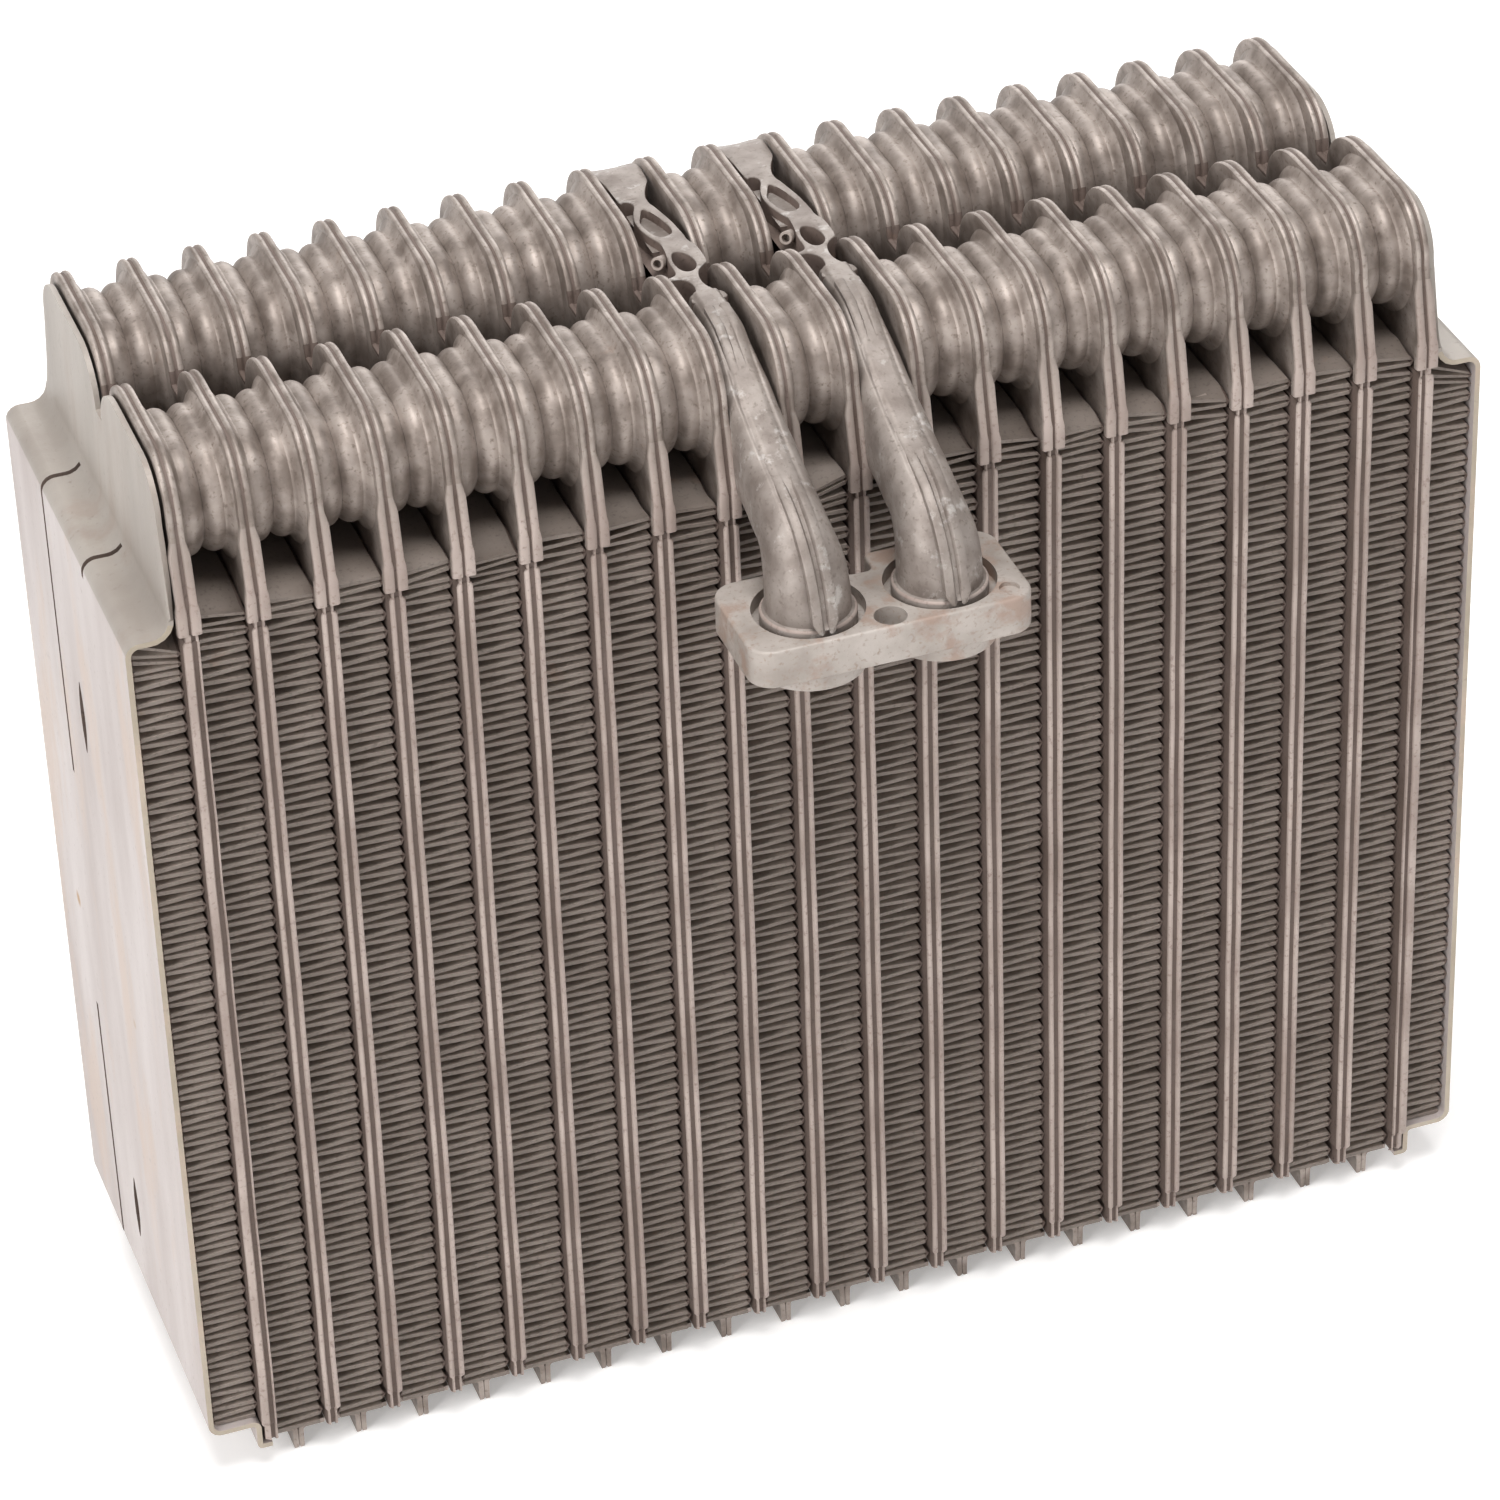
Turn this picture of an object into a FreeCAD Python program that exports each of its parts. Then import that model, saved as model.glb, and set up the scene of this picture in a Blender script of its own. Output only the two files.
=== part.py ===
import FreeCAD, Part
import Sketcher
import math
import os

# Evaporator core: a brazed stack of pressed tubes with folded fins between them.
# X runs along the stack, -Y is the face with the pipes, +Z is up.
# The origin lies on the ground under the middle of the overall box. Outlines are
# drawn from the front edges of the tubes and every piece is moved back to the
# origin by the same distance. All lengths are in millimetres.

doc = FreeCAD.newDocument("EvaporatorCore")
sheet = doc.addObject("Spreadsheet::Sheet", "Sizes")

drivingSizes = [
    # Stack of flat tubes, each pressed from two plates
    ("tube_count", 20),
    ("tube_pitch", 12.0),
    ("tube_thickness", 2.8),
    ("tube_depth", 88.0),
    ("tube_length", 177.8),
    ("lip_rise", 5.0),
    ("lip_depth", 2.8),
    ("lip_groove_depth", 0.9),
    ("lip_groove_width", 1.3),
    # Leaves bent out below the tubes
    ("foot_height", 5.6),
    ("foot_width", 5.0),
    ("foot_sheet", 0.9),
    ("foot_setback", 4.5),
    ("foot_clearance", 0.2),
    # Flange round the two tanks of each tube
    ("flange_thickness", 2.4),
    ("flange_border", 2.3),
    ("flange_front_border", 3.6),
    ("flange_corner", 11.0),
    ("shoulder_thickness", 4.1),
    ("shoulder_foot", 4.5),
    ("shoulder_rise", 14.0),
    ("valley_drop", 9.0),
    ("valley_width", 4.0),
    # Drawn cups that make up the tanks
    ("cup_depth", 29.4),
    ("cup_height", 21.7),
    ("cup_setback", 6.9),
    ("cup_rise", 17.2),
    ("cup_joint_inset", 1.5),
    # Folded fins
    ("fin_setback", 3.0),
    ("fin_clearance", 0.1),
    ("fin_rise", 2.4),
    ("fin_sheet", 0.8),
    ("fin_folds", 12),
    # Side plates
    ("plate_sheet", 1.0),
    ("plate_setback", 1.5),
    ("plate_offset", 8.8),
    ("plate_clearance", 0.3),
    ("plate_border", 0.4),
    ("plate_front_border", 1.9),
    ("plate_bend", 2.5),
    ("plate_floor_rise", 4.5),
    ("plate_hook", 1.8),
    ("slit_width", 0.7),
    ("shelf_slit_rear", 60.0),
    ("shelf_slit_rear_drop", 62.0),
    ("shelf_slit_front", 31.0),
    ("shelf_slit_front_drop", 3.5),
    ("upper_slit", 45.0),
    ("upper_slit_drop", 33.5),
    ("upper_slit_length", 15.0),
    ("lower_slit", 47.0),
    ("lower_slit_rise", 13.3),
    ("lower_slit_length", 13.9),
    ("floor_slit", 63.5),
    ("floor_slit_rise", 56.5),
    # Pressed ducts and their pipe ends
    ("duct_seam", 2.4),
    ("duct_slope", 18.0),
    ("duct_neck_width", 9.6),
    ("duct_neck_height", 12.8),
    ("duct_width", 6.4),
    ("duct_height", 12.0),
    ("duct_lead", 1.0),
    ("duct_overlap", 29.0),
    ("duct_rib", 1.6),
    ("duct_bend", 14.0),
    ("duct_boss_radius", 5.0),
    ("duct_clearance", 0.3),
    ("cell_sheet", 0.9),
    ("cell_height", 10.0),
    ("cell_neck", 2.2),
    ("cell_ramp", 2.0),
    ("front_cell_length", 6.0),
    ("middle_cell_length", 7.0),
    ("rear_cell_length", 12.5),
    ("tail_length", 18.0),
    ("tail_width", 7.0),
    ("tail_ramp", 6.0),
    ("pipe_radius", 7.6),
    ("pipe_bore", 6.2),
    ("pipe_bore_depth", 14.0),
    ("pipe_end", 3.5),
    ("bead_radius", 8.6),
    ("bead_height", 1.5),
    # Connection block
    ("port_reach", 21.2),
    ("block_length", 51.5),
    ("block_front", 11.3),
    ("block_back", 12.7),
    ("block_height", 7.3),
    ("block_drop", 6.8),
    ("block_corner", 4.5),
    ("counterbore_radius", 9.9),
    ("counterbore_depth", 2.7),
    ("pipe_clearance", 0.1),
    ("stud_hole_radius", 2.9),
    ("stud_hole_offset", 7.8),
    ("dimple_radius", 1.8),
    ("dimple_depth", 0.8),
    ("dimple_reach", 21.9),
    ("dimple_offset", 7.3),
    ("recess_width", 5.0),
    ("recess_depth", 5.5),
    ("recess_corner", 1.5),
]
for row, (alias, value) in enumerate(drivingSizes, start=1):
    sheet.set("A%d" % row, alias.replace("_", " "))
    sheet.set("B%d" % row, str(value))
    sheet.setAlias("B%d" % row, alias)
doc.recompute()


def size(alias):
    return float(sheet.get(alias))


tubeCount = int(size("tube_count"))
pitch = size("tube_pitch")
depth = size("tube_depth")
footHeight = size("foot_height")
neckHeight = footHeight + size("tube_length")
tankHeight = neckHeight + size("cup_rise")
tankMiddle = size("cup_setback") + size("cup_depth") / 2
tubeSide = size("tube_thickness") / 2
stackEnd = (tubeCount - 1) / 2 * pitch + tubeSide
finTop = neckHeight + size("fin_rise")
ductGaps = (tubeCount // 2 - 1, tubeCount // 2 + 1)
blockTop = neckHeight - size("block_drop")
toOrigin = "(Sizes.port_reach + Sizes.block_front - Sizes.tube_depth) / 2"


# Bends and corners are drawn with three chords, the ends of cups with four, and pipes
# and their seats with sixteen. The holes that other parts enter are true circles.
bendChords = 3
endChords = 4
pipeChords = 16


# Features and sketches

def originPlane(body, role):
    for feature in body.Origin.OriginFeatures:
        if feature.Role == role:
            return feature


def newBody(label):
    body = doc.addObject("PartDesign::Body", label)
    body.Label = label
    return body


def planeSketch(body, name, role, offset=0.0):
    sketch = body.newObject("Sketcher::SketchObject", name)
    sketch.AttachmentSupport = (originPlane(body, role), "")
    sketch.MapMode = "FlatFace"
    sketch.AttachmentOffset = FreeCAD.Placement(FreeCAD.Vector(0, 0, offset), FreeCAD.Rotation())
    return sketch


def arcPoints(y, z, radiusY, radiusZ, fromAngle, toAngle, chords):
    points = []
    for step in range(chords + 1):
        angle = math.radians(fromAngle + (toAngle - fromAngle) * step / chords)
        points.append((y + radiusY * math.cos(angle), z + radiusZ * math.sin(angle)))
    return points


def bentCorner(before, corner, after, radius):
    """Points that round a corner to the radius, from one side to the other."""
    here = FreeCAD.Vector(corner[0], corner[1], 0)
    toBefore = (FreeCAD.Vector(before[0], before[1], 0) - here).normalize()
    toAfter = (FreeCAD.Vector(after[0], after[1], 0) - here).normalize()
    halfAngle = toBefore.getAngle(toAfter) / 2
    centre = here + (toBefore + toAfter).normalize() * (radius / math.sin(halfAngle))
    start = here + toBefore * (radius / math.tan(halfAngle)) - centre
    turn = math.pi - 2 * halfAngle
    if start.cross(here + toAfter * (radius / math.tan(halfAngle)) - centre).z < 0:
        turn = -turn
    first = math.degrees(math.atan2(start.y, start.x))
    return arcPoints(centre.x, centre.y, radius, radius, first, first + math.degrees(turn), bendChords)


def addOutline(sketch, corners):
    """Add a closed outline; a corner with a third number is bent to that radius."""
    points = []
    for index, corner in enumerate(corners):
        if len(corner) > 2:
            points += bentCorner(corners[index - 1], corner, corners[(index + 1) % len(corners)], corner[2])
        else:
            points.append(corner)
    vectors = [FreeCAD.Vector(point[0], point[1], 0) for point in points]
    lines = [Part.LineSegment(start, end) for start, end in zip(vectors, vectors[1:] + vectors[:1])]
    sketch.addGeometry(lines, False)


def addCircle(sketch, x, y, alias):
    circle = Part.Circle(FreeCAD.Vector(x, y, 0), FreeCAD.Vector(0, 0, 1), 1.0)
    geometry = sketch.addGeometry(circle, False)
    constraint = sketch.addConstraint(Sketcher.Constraint("Radius", geometry, size(alias)))
    sketch.setExpression("Constraints[%d]" % constraint, "Sizes.%s" % alias)


def addRound(sketch, x, y, radius):
    addOutline(sketch, arcPoints(x, y, radius, radius, 0, 360, pipeChords)[:-1])


def pad(body, sketch, length, name, midplane=False, reverse=False):
    feature = body.newObject("PartDesign::Pad", name)
    feature.Profile = sketch
    feature.setExpression("Length", length)
    feature.Midplane = midplane
    feature.Reversed = reverse
    return feature


def pocket(body, sketch, length, name, reverse=False):
    feature = body.newObject("PartDesign::Pocket", name)
    feature.Profile = sketch
    feature.setExpression("Length", length)
    feature.Reversed = reverse


def withRearHalf(frontHalf):
    return frontHalf + [(depth - y, z) for y, z in reversed(frontHalf)]


# Half of the outline over the tanks: a rounded hump that falls into the middle valley.
def tankHump(border, frontBorder):
    front = size("cup_setback") - frontBorder
    top = tankHeight + size("cup_height") / 2 + border
    corner = size("flange_corner") - size("flange_border") + border
    crestEnd = size("cup_setback") + size("cup_depth") - corner / 2
    valley = depth / 2 - size("valley_width") / 2
    drop = size("valley_drop")
    rise = arcPoints(front + corner, top - corner, corner, corner, 180, 90, bendChords)
    return rise + arcPoints(crestEnd, top - drop, valley - crestEnd, drop, 90, 0, bendChords)


# A racetrack outline for one drawn cup.
def cupOutline(middle):
    radius = size("cup_height") / 2
    straight = (size("cup_depth") - size("cup_height")) / 2
    rear = arcPoints(middle + straight, tankHeight, radius, radius, -90, 90, endChords)
    front = arcPoints(middle - straight, tankHeight, radius, radius, 90, 270, endChords)
    return rear + front


# The cups reach the middle of the gap, where their sloped rims meet the next tube's.
def addCups(body, side, name):
    sketch = planeSketch(body, name + "_outlines", "YZ_Plane")
    for middle in (tankMiddle, depth - tankMiddle):
        addOutline(sketch, cupOutline(middle))
    cups = pad(body, sketch, "Sizes.tube_pitch / 2", name + "_cups", reverse=side < 0)
    doc.recompute()
    joints = ["Face%d" % number for number, face in enumerate(cups.Shape.Faces, start=1)
              if abs(face.CenterOfMass.x - side * pitch / 2) < size("fin_clearance")]
    rims = body.newObject("PartDesign::Chamfer", name + "_rims")
    rims.Base = (cups, joints)
    rims.setExpression("Size", "Sizes.cup_joint_inset")


# The front edge of a flange is thick just above the neck, where both plates are bent out.
def addShoulder(body, name, rear):
    width = size("fin_setback") - size("fin_clearance")
    low, high = neckHeight + size("shoulder_foot"), neckHeight + size("shoulder_rise")
    front = size("cup_setback") - size("flange_front_border")
    lean = front * (high - low) / (tankHeight - low)
    outline = [(0, neckHeight), (0, low), (lean, high), (width, high), (width, neckHeight)]
    if rear:
        outline = [(depth - y, z) for y, z in outline]
    sketch = planeSketch(body, name + "_outline", "YZ_Plane")
    addOutline(sketch, outline)
    pad(body, sketch, "Sizes.shoulder_thickness", name, midplane=True)


# A foot is a leaf bent out from the bottom edge towards the middle of the gap.
def addFeet(body, side, name):
    tip = pitch / 2 - size("foot_clearance") / 2
    leaf = size("foot_sheet")
    profile = [(side * (tubeSide - leaf), footHeight), (side * tubeSide, footHeight),
               (side * tip, 0.0), (side * (tip - leaf), 0.0)]
    middle = size("foot_setback") + size("foot_width") / 2
    for end, y in (("front", middle), ("rear", depth - middle)):
        sketch = planeSketch(body, "%s_%s_profile" % (name, end), "XZ_Plane", -y)
        addOutline(sketch, profile)
        pad(body, sketch, "Sizes.foot_width", "%s_%s" % (name, end), midplane=True)


def cutLipGrooves(body, name):
    reach = size("lip_groove_depth")
    half = size("lip_groove_width") / 2
    sketch = planeSketch(body, name + "_profile", "XY_Plane", footHeight)
    addOutline(sketch, [(-half, 0), (half, 0), (0, reach)])
    addOutline(sketch, [(-half, depth), (0, depth - reach), (half, depth)])
    pocket(body, sketch, "Sizes.tube_length", name, reverse=True)


# One tube: flat below the neck, flanged and drawn into cups above it.
def tubePattern(label, cupSides, footSides):
    body = newBody(label)
    lip = size("lip_depth")
    flat = planeSketch(body, label + "_flat_outline", "YZ_Plane")
    addOutline(flat, withRearHalf([(lip, footHeight), (0, footHeight + size("lip_rise")), (0, neckHeight)]))
    pad(body, flat, "Sizes.tube_thickness", label + "_flat", midplane=True)
    cutLipGrooves(body, label + "_lip_grooves")
    flange = planeSketch(body, label + "_flange_outline", "YZ_Plane")
    hump = tankHump(size("flange_border"), size("flange_front_border"))
    addOutline(flange, withRearHalf([(0, neckHeight), (0, neckHeight + size("shoulder_foot"))] + hump))
    pad(body, flange, "Sizes.flange_thickness", label + "_flange", midplane=True)
    addShoulder(body, label + "_front_shoulder", False)
    addShoulder(body, label + "_rear_shoulder", True)
    for side in cupSides:
        addCups(body, side, "%s_side_%d" % (label, side > 0))
    for side in footSides:
        addFeet(body, side, "%s_foot_%d" % (label, side > 0))
    return body


# A stack of fins is one strip folded up and down between its neighbours.
def finPattern(label, width, bottom, top):
    body = newBody(label)
    folds = int(size("fin_folds"))
    sheetWidth = size("fin_sheet")
    right, left = [], []
    for fold in range(folds + 1):
        z = bottom + (top - bottom) * fold / folds
        if fold % 2:
            right.append((width / 2, z))
            left.append((width / 2 - sheetWidth, z))
        else:
            right.append((-width / 2 + sheetWidth, z))
            left.append((-width / 2, z))
    sketch = planeSketch(body, label + "_profile", "XZ_Plane", -depth / 2)
    addOutline(sketch, right + left[::-1])
    pad(body, sketch, "Sizes.tube_depth - 2 * Sizes.fin_setback", label + "_strip", midplane=True)
    return body


plateTop = neckHeight - size("plate_clearance")
plateFloor = footHeight + size("plate_floor_rise")
plateOuter = stackEnd + size("plate_offset") + size("plate_sheet")


# A side plate is bent from one sheet: upper wall, shelf, outer wall, floor and hooked leg.
def platePattern(label):
    body = newBody(label)
    gauge = size("plate_sheet")
    bend = size("plate_bend")
    inner = bend - gauge
    wallInner = stackEnd - tubeSide + size("shoulder_thickness") / 2 + size("plate_clearance")
    wallOuter = wallInner + gauge
    wallStart = plateTop + bend
    legOuter = stackEnd + gauge
    hookEnd = stackEnd - size("plate_hook")
    profile = [(-wallOuter, wallStart), (-wallOuter, plateTop, inner), (-plateOuter, plateTop, bend),
               (-plateOuter, plateFloor, bend), (-legOuter, plateFloor, inner / 2),
               (-legOuter, footHeight - gauge, gauge), (-hookEnd, footHeight - gauge),
               (-hookEnd, footHeight), (-stackEnd, footHeight),
               (-stackEnd, plateFloor + gauge, bend - gauge / 2),
               (-plateOuter + gauge, plateFloor + gauge, inner),
               (-plateOuter + gauge, plateTop - gauge, inner),
               (-wallInner, plateTop - gauge, bend), (-wallInner, wallStart)]
    sketch = planeSketch(body, label + "_profile", "XZ_Plane", -depth / 2)
    addOutline(sketch, profile)
    pad(body, sketch, "Sizes.tube_depth - 2 * Sizes.plate_setback", label + "_sheet", midplane=True)
    wall = planeSketch(body, label + "_wall_outline", "YZ_Plane", -wallOuter)
    hump = tankHump(size("plate_border"), size("plate_front_border"))
    addOutline(wall, withRearHalf([(size("plate_setback"), wallStart)] + hump))
    pad(body, wall, "Sizes.plate_sheet", label + "_wall")
    cutSlits(body, label)
    return body


# Relief slits: two run from the shelf down the wall, one leaves the floor, two stay in the wall.
def cutSlits(body, label):
    half = size("slit_width") / 2
    over = size("plate_sheet")
    upperEnd = plateTop - size("upper_slit_drop")
    lowerStart = plateFloor + size("lower_slit_rise")
    slits = [(size("shelf_slit_rear"), plateTop - size("shelf_slit_rear_drop"), plateTop + over),
             (size("shelf_slit_front"), plateTop - size("shelf_slit_front_drop"), plateTop + over),
             (size("upper_slit"), upperEnd - size("upper_slit_length"), upperEnd),
             (size("lower_slit"), lowerStart, lowerStart + size("lower_slit_length")),
             (size("floor_slit"), plateFloor - over, plateFloor + size("floor_slit_rise"))]
    sketch = planeSketch(body, label + "_slit_outlines", "YZ_Plane", -plateOuter - over)
    for y, low, high in slits:
        addOutline(sketch, [(y - half, low), (y + half, low), (y + half, high), (y - half, high)])
    pocket(body, sketch, "Sizes.plate_offset", label + "_slits", reverse=True)


# The middle line of a duct turns up and back out of its pipe, then slopes into the stack.
ductSides = 10
ductSteps = 4
ductBend = size("duct_bend")
bendMiddle = ductBend - size("port_reach")
slopeTurn = 90 - size("duct_slope")


def ductRing(turn, offset):
    angle = math.radians(turn)
    return (bendMiddle - (ductBend + offset) * math.cos(angle),
            blockTop + (ductBend + offset) * math.sin(angle))


def ductSection(turn, run, width, height):
    y, z = ductRing(turn, 0)
    y += run
    z += run * math.tan(math.radians(size("duct_slope")))
    tilt = math.radians(turn)
    return [FreeCAD.Vector(across, y + along * math.cos(tilt), z - along * math.sin(tilt))
            for across, along in arcPoints(0, 0, width / 2, height / 2, 0, 360, ductSides)[:-1]]


# The shell shrinks from the round pipe to the flat duct while it turns, and keeps that section.
def ductSections():
    pipe = 2 * size("pipe_radius")
    flat = (size("duct_width"), size("duct_height"))
    turnEnd = ductRing(slopeTurn, 0)[0]
    sections = []
    for step in range(ductSteps + 1):
        share = (step / ductSteps) ** 2
        width = pipe + (size("duct_neck_width") - pipe) * share
        height = pipe + (size("duct_neck_height") - pipe) * share
        sections.append(ductSection(slopeTurn * step / ductSteps, 0, width, height))
    for y in (-size("duct_lead"), size("duct_overlap")):
        sections.append(ductSection(slopeTurn, y - turnEnd, flat[0], flat[1]))
    return sections


def flatFace(points):
    return Part.Face(Part.makePolygon(points + points[:1]))


# Two triangles join each pair of neighbouring corners, so that the skin has only flat faces.
def skinSolid(sections):
    faces = [flatFace(sections[0]), flatFace(sections[-1])]
    for near, far in zip(sections, sections[1:]):
        for corner in range(len(near)):
            following = (corner + 1) % len(near)
            faces.append(flatFace([near[corner], near[following], far[following]]))
            faces.append(flatFace([near[corner], far[following], far[corner]]))
    return Part.makeSolid(Part.makeShell(faces))


def cellSpans():
    end = depth - size("cup_setback") - size("tail_length")
    spans = []
    for name in ("rear_cell_length", "middle_cell_length", "front_cell_length"):
        spans.insert(0, (end - size(name), end))
        end -= size(name) + size("cell_neck")
    return spans


# The seam plate follows the duct as a rib and carries it between two tubes.
def addSeamPlate(body, name):
    rib = size("duct_rib")
    pipeRim = size("pipe_radius") + rib
    flatRim = size("duct_height") / 2 + rib
    turns = [slopeTurn * step / bendChords for step in range(bendChords + 1)]
    rims = [pipeRim + (flatRim - pipeRim) * turn / slopeTurn for turn in turns]
    outer = [ductRing(turn, rim) for turn, rim in zip(turns, rims)]
    inner = [ductRing(turn, -rim) for turn, rim in zip(turns, rims)]
    bottom = finTop + size("duct_clearance")
    crestTop = tankHeight + size("cell_height")
    cellStart = cellSpans()[0][0]
    rear = depth - size("cup_setback")
    bottomStart = inner[-1][0] + (bottom - inner[-1][1]) / math.tan(math.radians(size("duct_slope")))
    crest = [(cellStart - rib, crestTop), (cellStart, crestTop), (cellStart, tankHeight)]
    base = [(rear, tankHeight), (rear, bottom), (bottomStart, bottom)]
    sketch = planeSketch(body, name + "_outline", "YZ_Plane")
    addOutline(sketch, outer + crest + base + inner[::-1])
    pad(body, sketch, "Sizes.duct_seam", name, midplane=True)


# Over the rear tank both sheets bulge apart into three open cells and a wide tail.
def addCells(body, name):
    gauge = size("cell_sheet")
    bulge = size("duct_width") / 2
    ramp = size("cell_ramp")
    rear = depth - size("cup_setback")
    tailStart = rear - size("tail_length")
    sketch = planeSketch(body, name + "_outline", "XY_Plane", tankHeight)
    side = []
    for first, last in cellSpans():
        side += [(gauge, first), (bulge, first + ramp), (bulge, last - ramp), (gauge, last)]
        wall = bulge - gauge
        addOutline(sketch, [(0, first + gauge), (wall, first + ramp), (wall, last - ramp),
                            (0, last - gauge), (-wall, last - ramp), (-wall, first + ramp)])
    side += [(size("tail_width") / 2, tailStart + size("tail_ramp")), (size("tail_width") / 2, rear)]
    addOutline(sketch, side + [(-x, y) for x, y in reversed(side)])
    pad(body, sketch, "Sizes.cell_height", name)


# The bosses stand flat side up, just below the cells.
def addBosses(body, name):
    sketch = planeSketch(body, name + "_outlines", "YZ_Plane")
    radius = size("duct_boss_radius")
    sides = 2 * endChords
    start = 180 / sides
    for y in (tankMiddle, depth - tankMiddle):
        addOutline(sketch, arcPoints(y, tankHeight - radius, radius, radius, start, start + 360, sides)[:-1])
    pad(body, sketch, "Sizes.tube_pitch - Sizes.flange_thickness", name, midplane=True)


def ductPattern(label):
    body = newBody(label + "_plates")
    addSeamPlate(body, label + "_seam")
    addCells(body, label + "_cells")
    addBosses(body, label + "_bosses")
    pipeBottom = blockTop - size("block_height") - size("pipe_end")
    beadBottom = blockTop - size("counterbore_depth")
    axis = -size("port_reach")
    pipe = planeSketch(body, label + "_pipe_outline", "XY_Plane", pipeBottom)
    addRound(pipe, 0, axis, size("pipe_radius"))
    pad(body, pipe, "Sizes.block_height + Sizes.pipe_end", label + "_pipe")
    bead = planeSketch(body, label + "_bead_outline", "XY_Plane", beadBottom)
    addRound(bead, 0, axis, size("bead_radius"))
    pad(body, bead, "Sizes.bead_height", label + "_bead")
    shell = doc.addObject("Part::Feature", label + "_shell")
    shell.Shape = skinSolid(ductSections())
    bore = doc.addObject("Part::Cylinder", label + "_bore")
    bore.setExpression("Radius", "Sizes.pipe_bore")
    bore.setExpression("Height", "Sizes.pipe_bore_depth")
    bore.Placement = FreeCAD.Placement(FreeCAD.Vector(0, axis, pipeBottom), FreeCAD.Rotation())
    joined = doc.addObject("Part::MultiFuse", label + "_joined")
    joined.Shapes = [body, shell]
    duct = doc.addObject("Part::Cut", label)
    duct.Base = joined
    duct.Tool = bore
    return duct


# The block clamps both pipe ends and is held by one stud between them.
def blockPattern(label):
    body = newBody(label)
    half = size("block_length") / 2
    axis = -size("port_reach")
    front, back = axis - size("block_front"), axis + size("block_back")
    corner = size("block_corner")
    recess = size("recess_width") / 2
    recessEnd = back - size("recess_depth")
    small = size("recess_corner")
    outline = planeSketch(body, label + "_outline", "XY_Plane", blockTop)
    addOutline(outline, [(-half, front, corner), (half, front, corner), (half, back, corner),
                         (recess, back, small), (recess, recessEnd, small),
                         (-recess, recessEnd, small), (-recess, back, small), (-half, back, corner)])
    pad(body, outline, "Sizes.block_height", label + "_slab", reverse=True)
    seats = planeSketch(body, label + "_seat_outlines", "XY_Plane", blockTop)
    bores = planeSketch(body, label + "_bore_outlines", "XY_Plane", blockTop)
    for x in (-pitch, pitch):
        addRound(seats, x, axis, size("counterbore_radius"))
        addRound(bores, x, axis, size("pipe_radius") + size("pipe_clearance"))
    addCircle(bores, 0, axis - size("stud_hole_offset"), "stud_hole_radius")
    pocket(body, seats, "Sizes.counterbore_depth", label + "_seats")
    pocket(body, bores, "Sizes.block_height", label + "_bores")
    dimple = planeSketch(body, label + "_dimple_outline", "XY_Plane", blockTop)
    radius = size("dimple_radius")
    dimpleY = axis - size("dimple_offset")
    addOutline(dimple, arcPoints(size("dimple_reach"), dimpleY, radius, radius, 0, 360, 2 * endChords)[:-1])
    pocket(body, dimple, "Sizes.dimple_depth", label + "_dimple")
    return body


# Stampings and folded strips that the stack repeats

bothSides = (-1, 1)
tubePatterns = {
    "middle": tubePattern("pattern_tube_middle", bothSides, bothSides),
    "left_of_duct": tubePattern("pattern_tube_left_of_duct", (-1,), bothSides),
    "right_of_duct": tubePattern("pattern_tube_right_of_duct", (1,), bothSides),
    "first": tubePattern("pattern_tube_first", (1,), (1,)),
    "last": tubePattern("pattern_tube_last", (-1,), (-1,)),
}
innerFin = finPattern("pattern_fin_inner", pitch - size("tube_thickness"), footHeight, finTop)
endFin = finPattern("pattern_fin_end", size("plate_offset"),
                    plateFloor + size("plate_sheet"), plateTop - size("plate_sheet"))
sidePlate = platePattern("side_plate_left")
duct = ductPattern("pattern_duct")
block = blockPattern("connection_block")
doc.recompute()

for body in (sidePlate, block):
    body.setExpression("Placement.Base.y", toOrigin)
subParts = [sidePlate, block]


def place(label, pattern, alongStack, turned=False):
    piece = doc.addObject("Part::Feature", label)
    piece.Label = label
    piece.Shape = pattern.Shape
    if turned:
        piece.Placement = FreeCAD.Placement(FreeCAD.Vector(), FreeCAD.Rotation(180, 0, 0))
    piece.setExpression("Placement.Base.x", alongStack)
    piece.setExpression("Placement.Base.y", toOrigin + (" + Sizes.tube_depth" if turned else ""))
    subParts.append(piece)


def tubeKind(number):
    if number == 1:
        return "first"
    if number == tubeCount:
        return "last"
    if number in ductGaps:
        return "left_of_duct"
    if number - 1 in ductGaps:
        return "right_of_duct"
    return "middle"


for number in range(1, tubeCount + 1):
    place("tube_%02d" % number, tubePatterns[tubeKind(number)],
          "(%d - (Sizes.tube_count + 1) / 2) * Sizes.tube_pitch" % number)
for gap in range(1, tubeCount):
    place("fin_%02d" % gap, innerFin, "(%d - Sizes.tube_count / 2) * Sizes.tube_pitch" % gap)
endFinMiddle = "((Sizes.tube_count - 1) * Sizes.tube_pitch + Sizes.tube_thickness + Sizes.plate_offset) / 2"
place("fin_left_end", endFin, "-" + endFinMiddle, turned=True)
place("fin_right_end", endFin, endFinMiddle)
for label, gap in zip(("duct_left", "duct_right"), ductGaps):
    place(label, duct, "(%d - Sizes.tube_count / 2) * Sizes.tube_pitch" % gap)
place("side_plate_right", sidePlate, "0", turned=True)
doc.recompute()

for item in doc.Objects:
    if "Invalid" in item.State or "Error" in item.State:
        raise RuntimeError("%s was not built: %s" % (item.Label, item.State))
for piece in subParts:
    if piece.Shape.isNull() or not piece.Shape.isValid():
        raise RuntimeError("%s has no valid solid" % piece.Label)

os.makedirs("parts", exist_ok=True)
for piece in subParts:
    piece.Shape.exportStep("parts/%s.step" % piece.Label)
print("%d sub-parts written" % len(subParts))
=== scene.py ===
import math
import random

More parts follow.
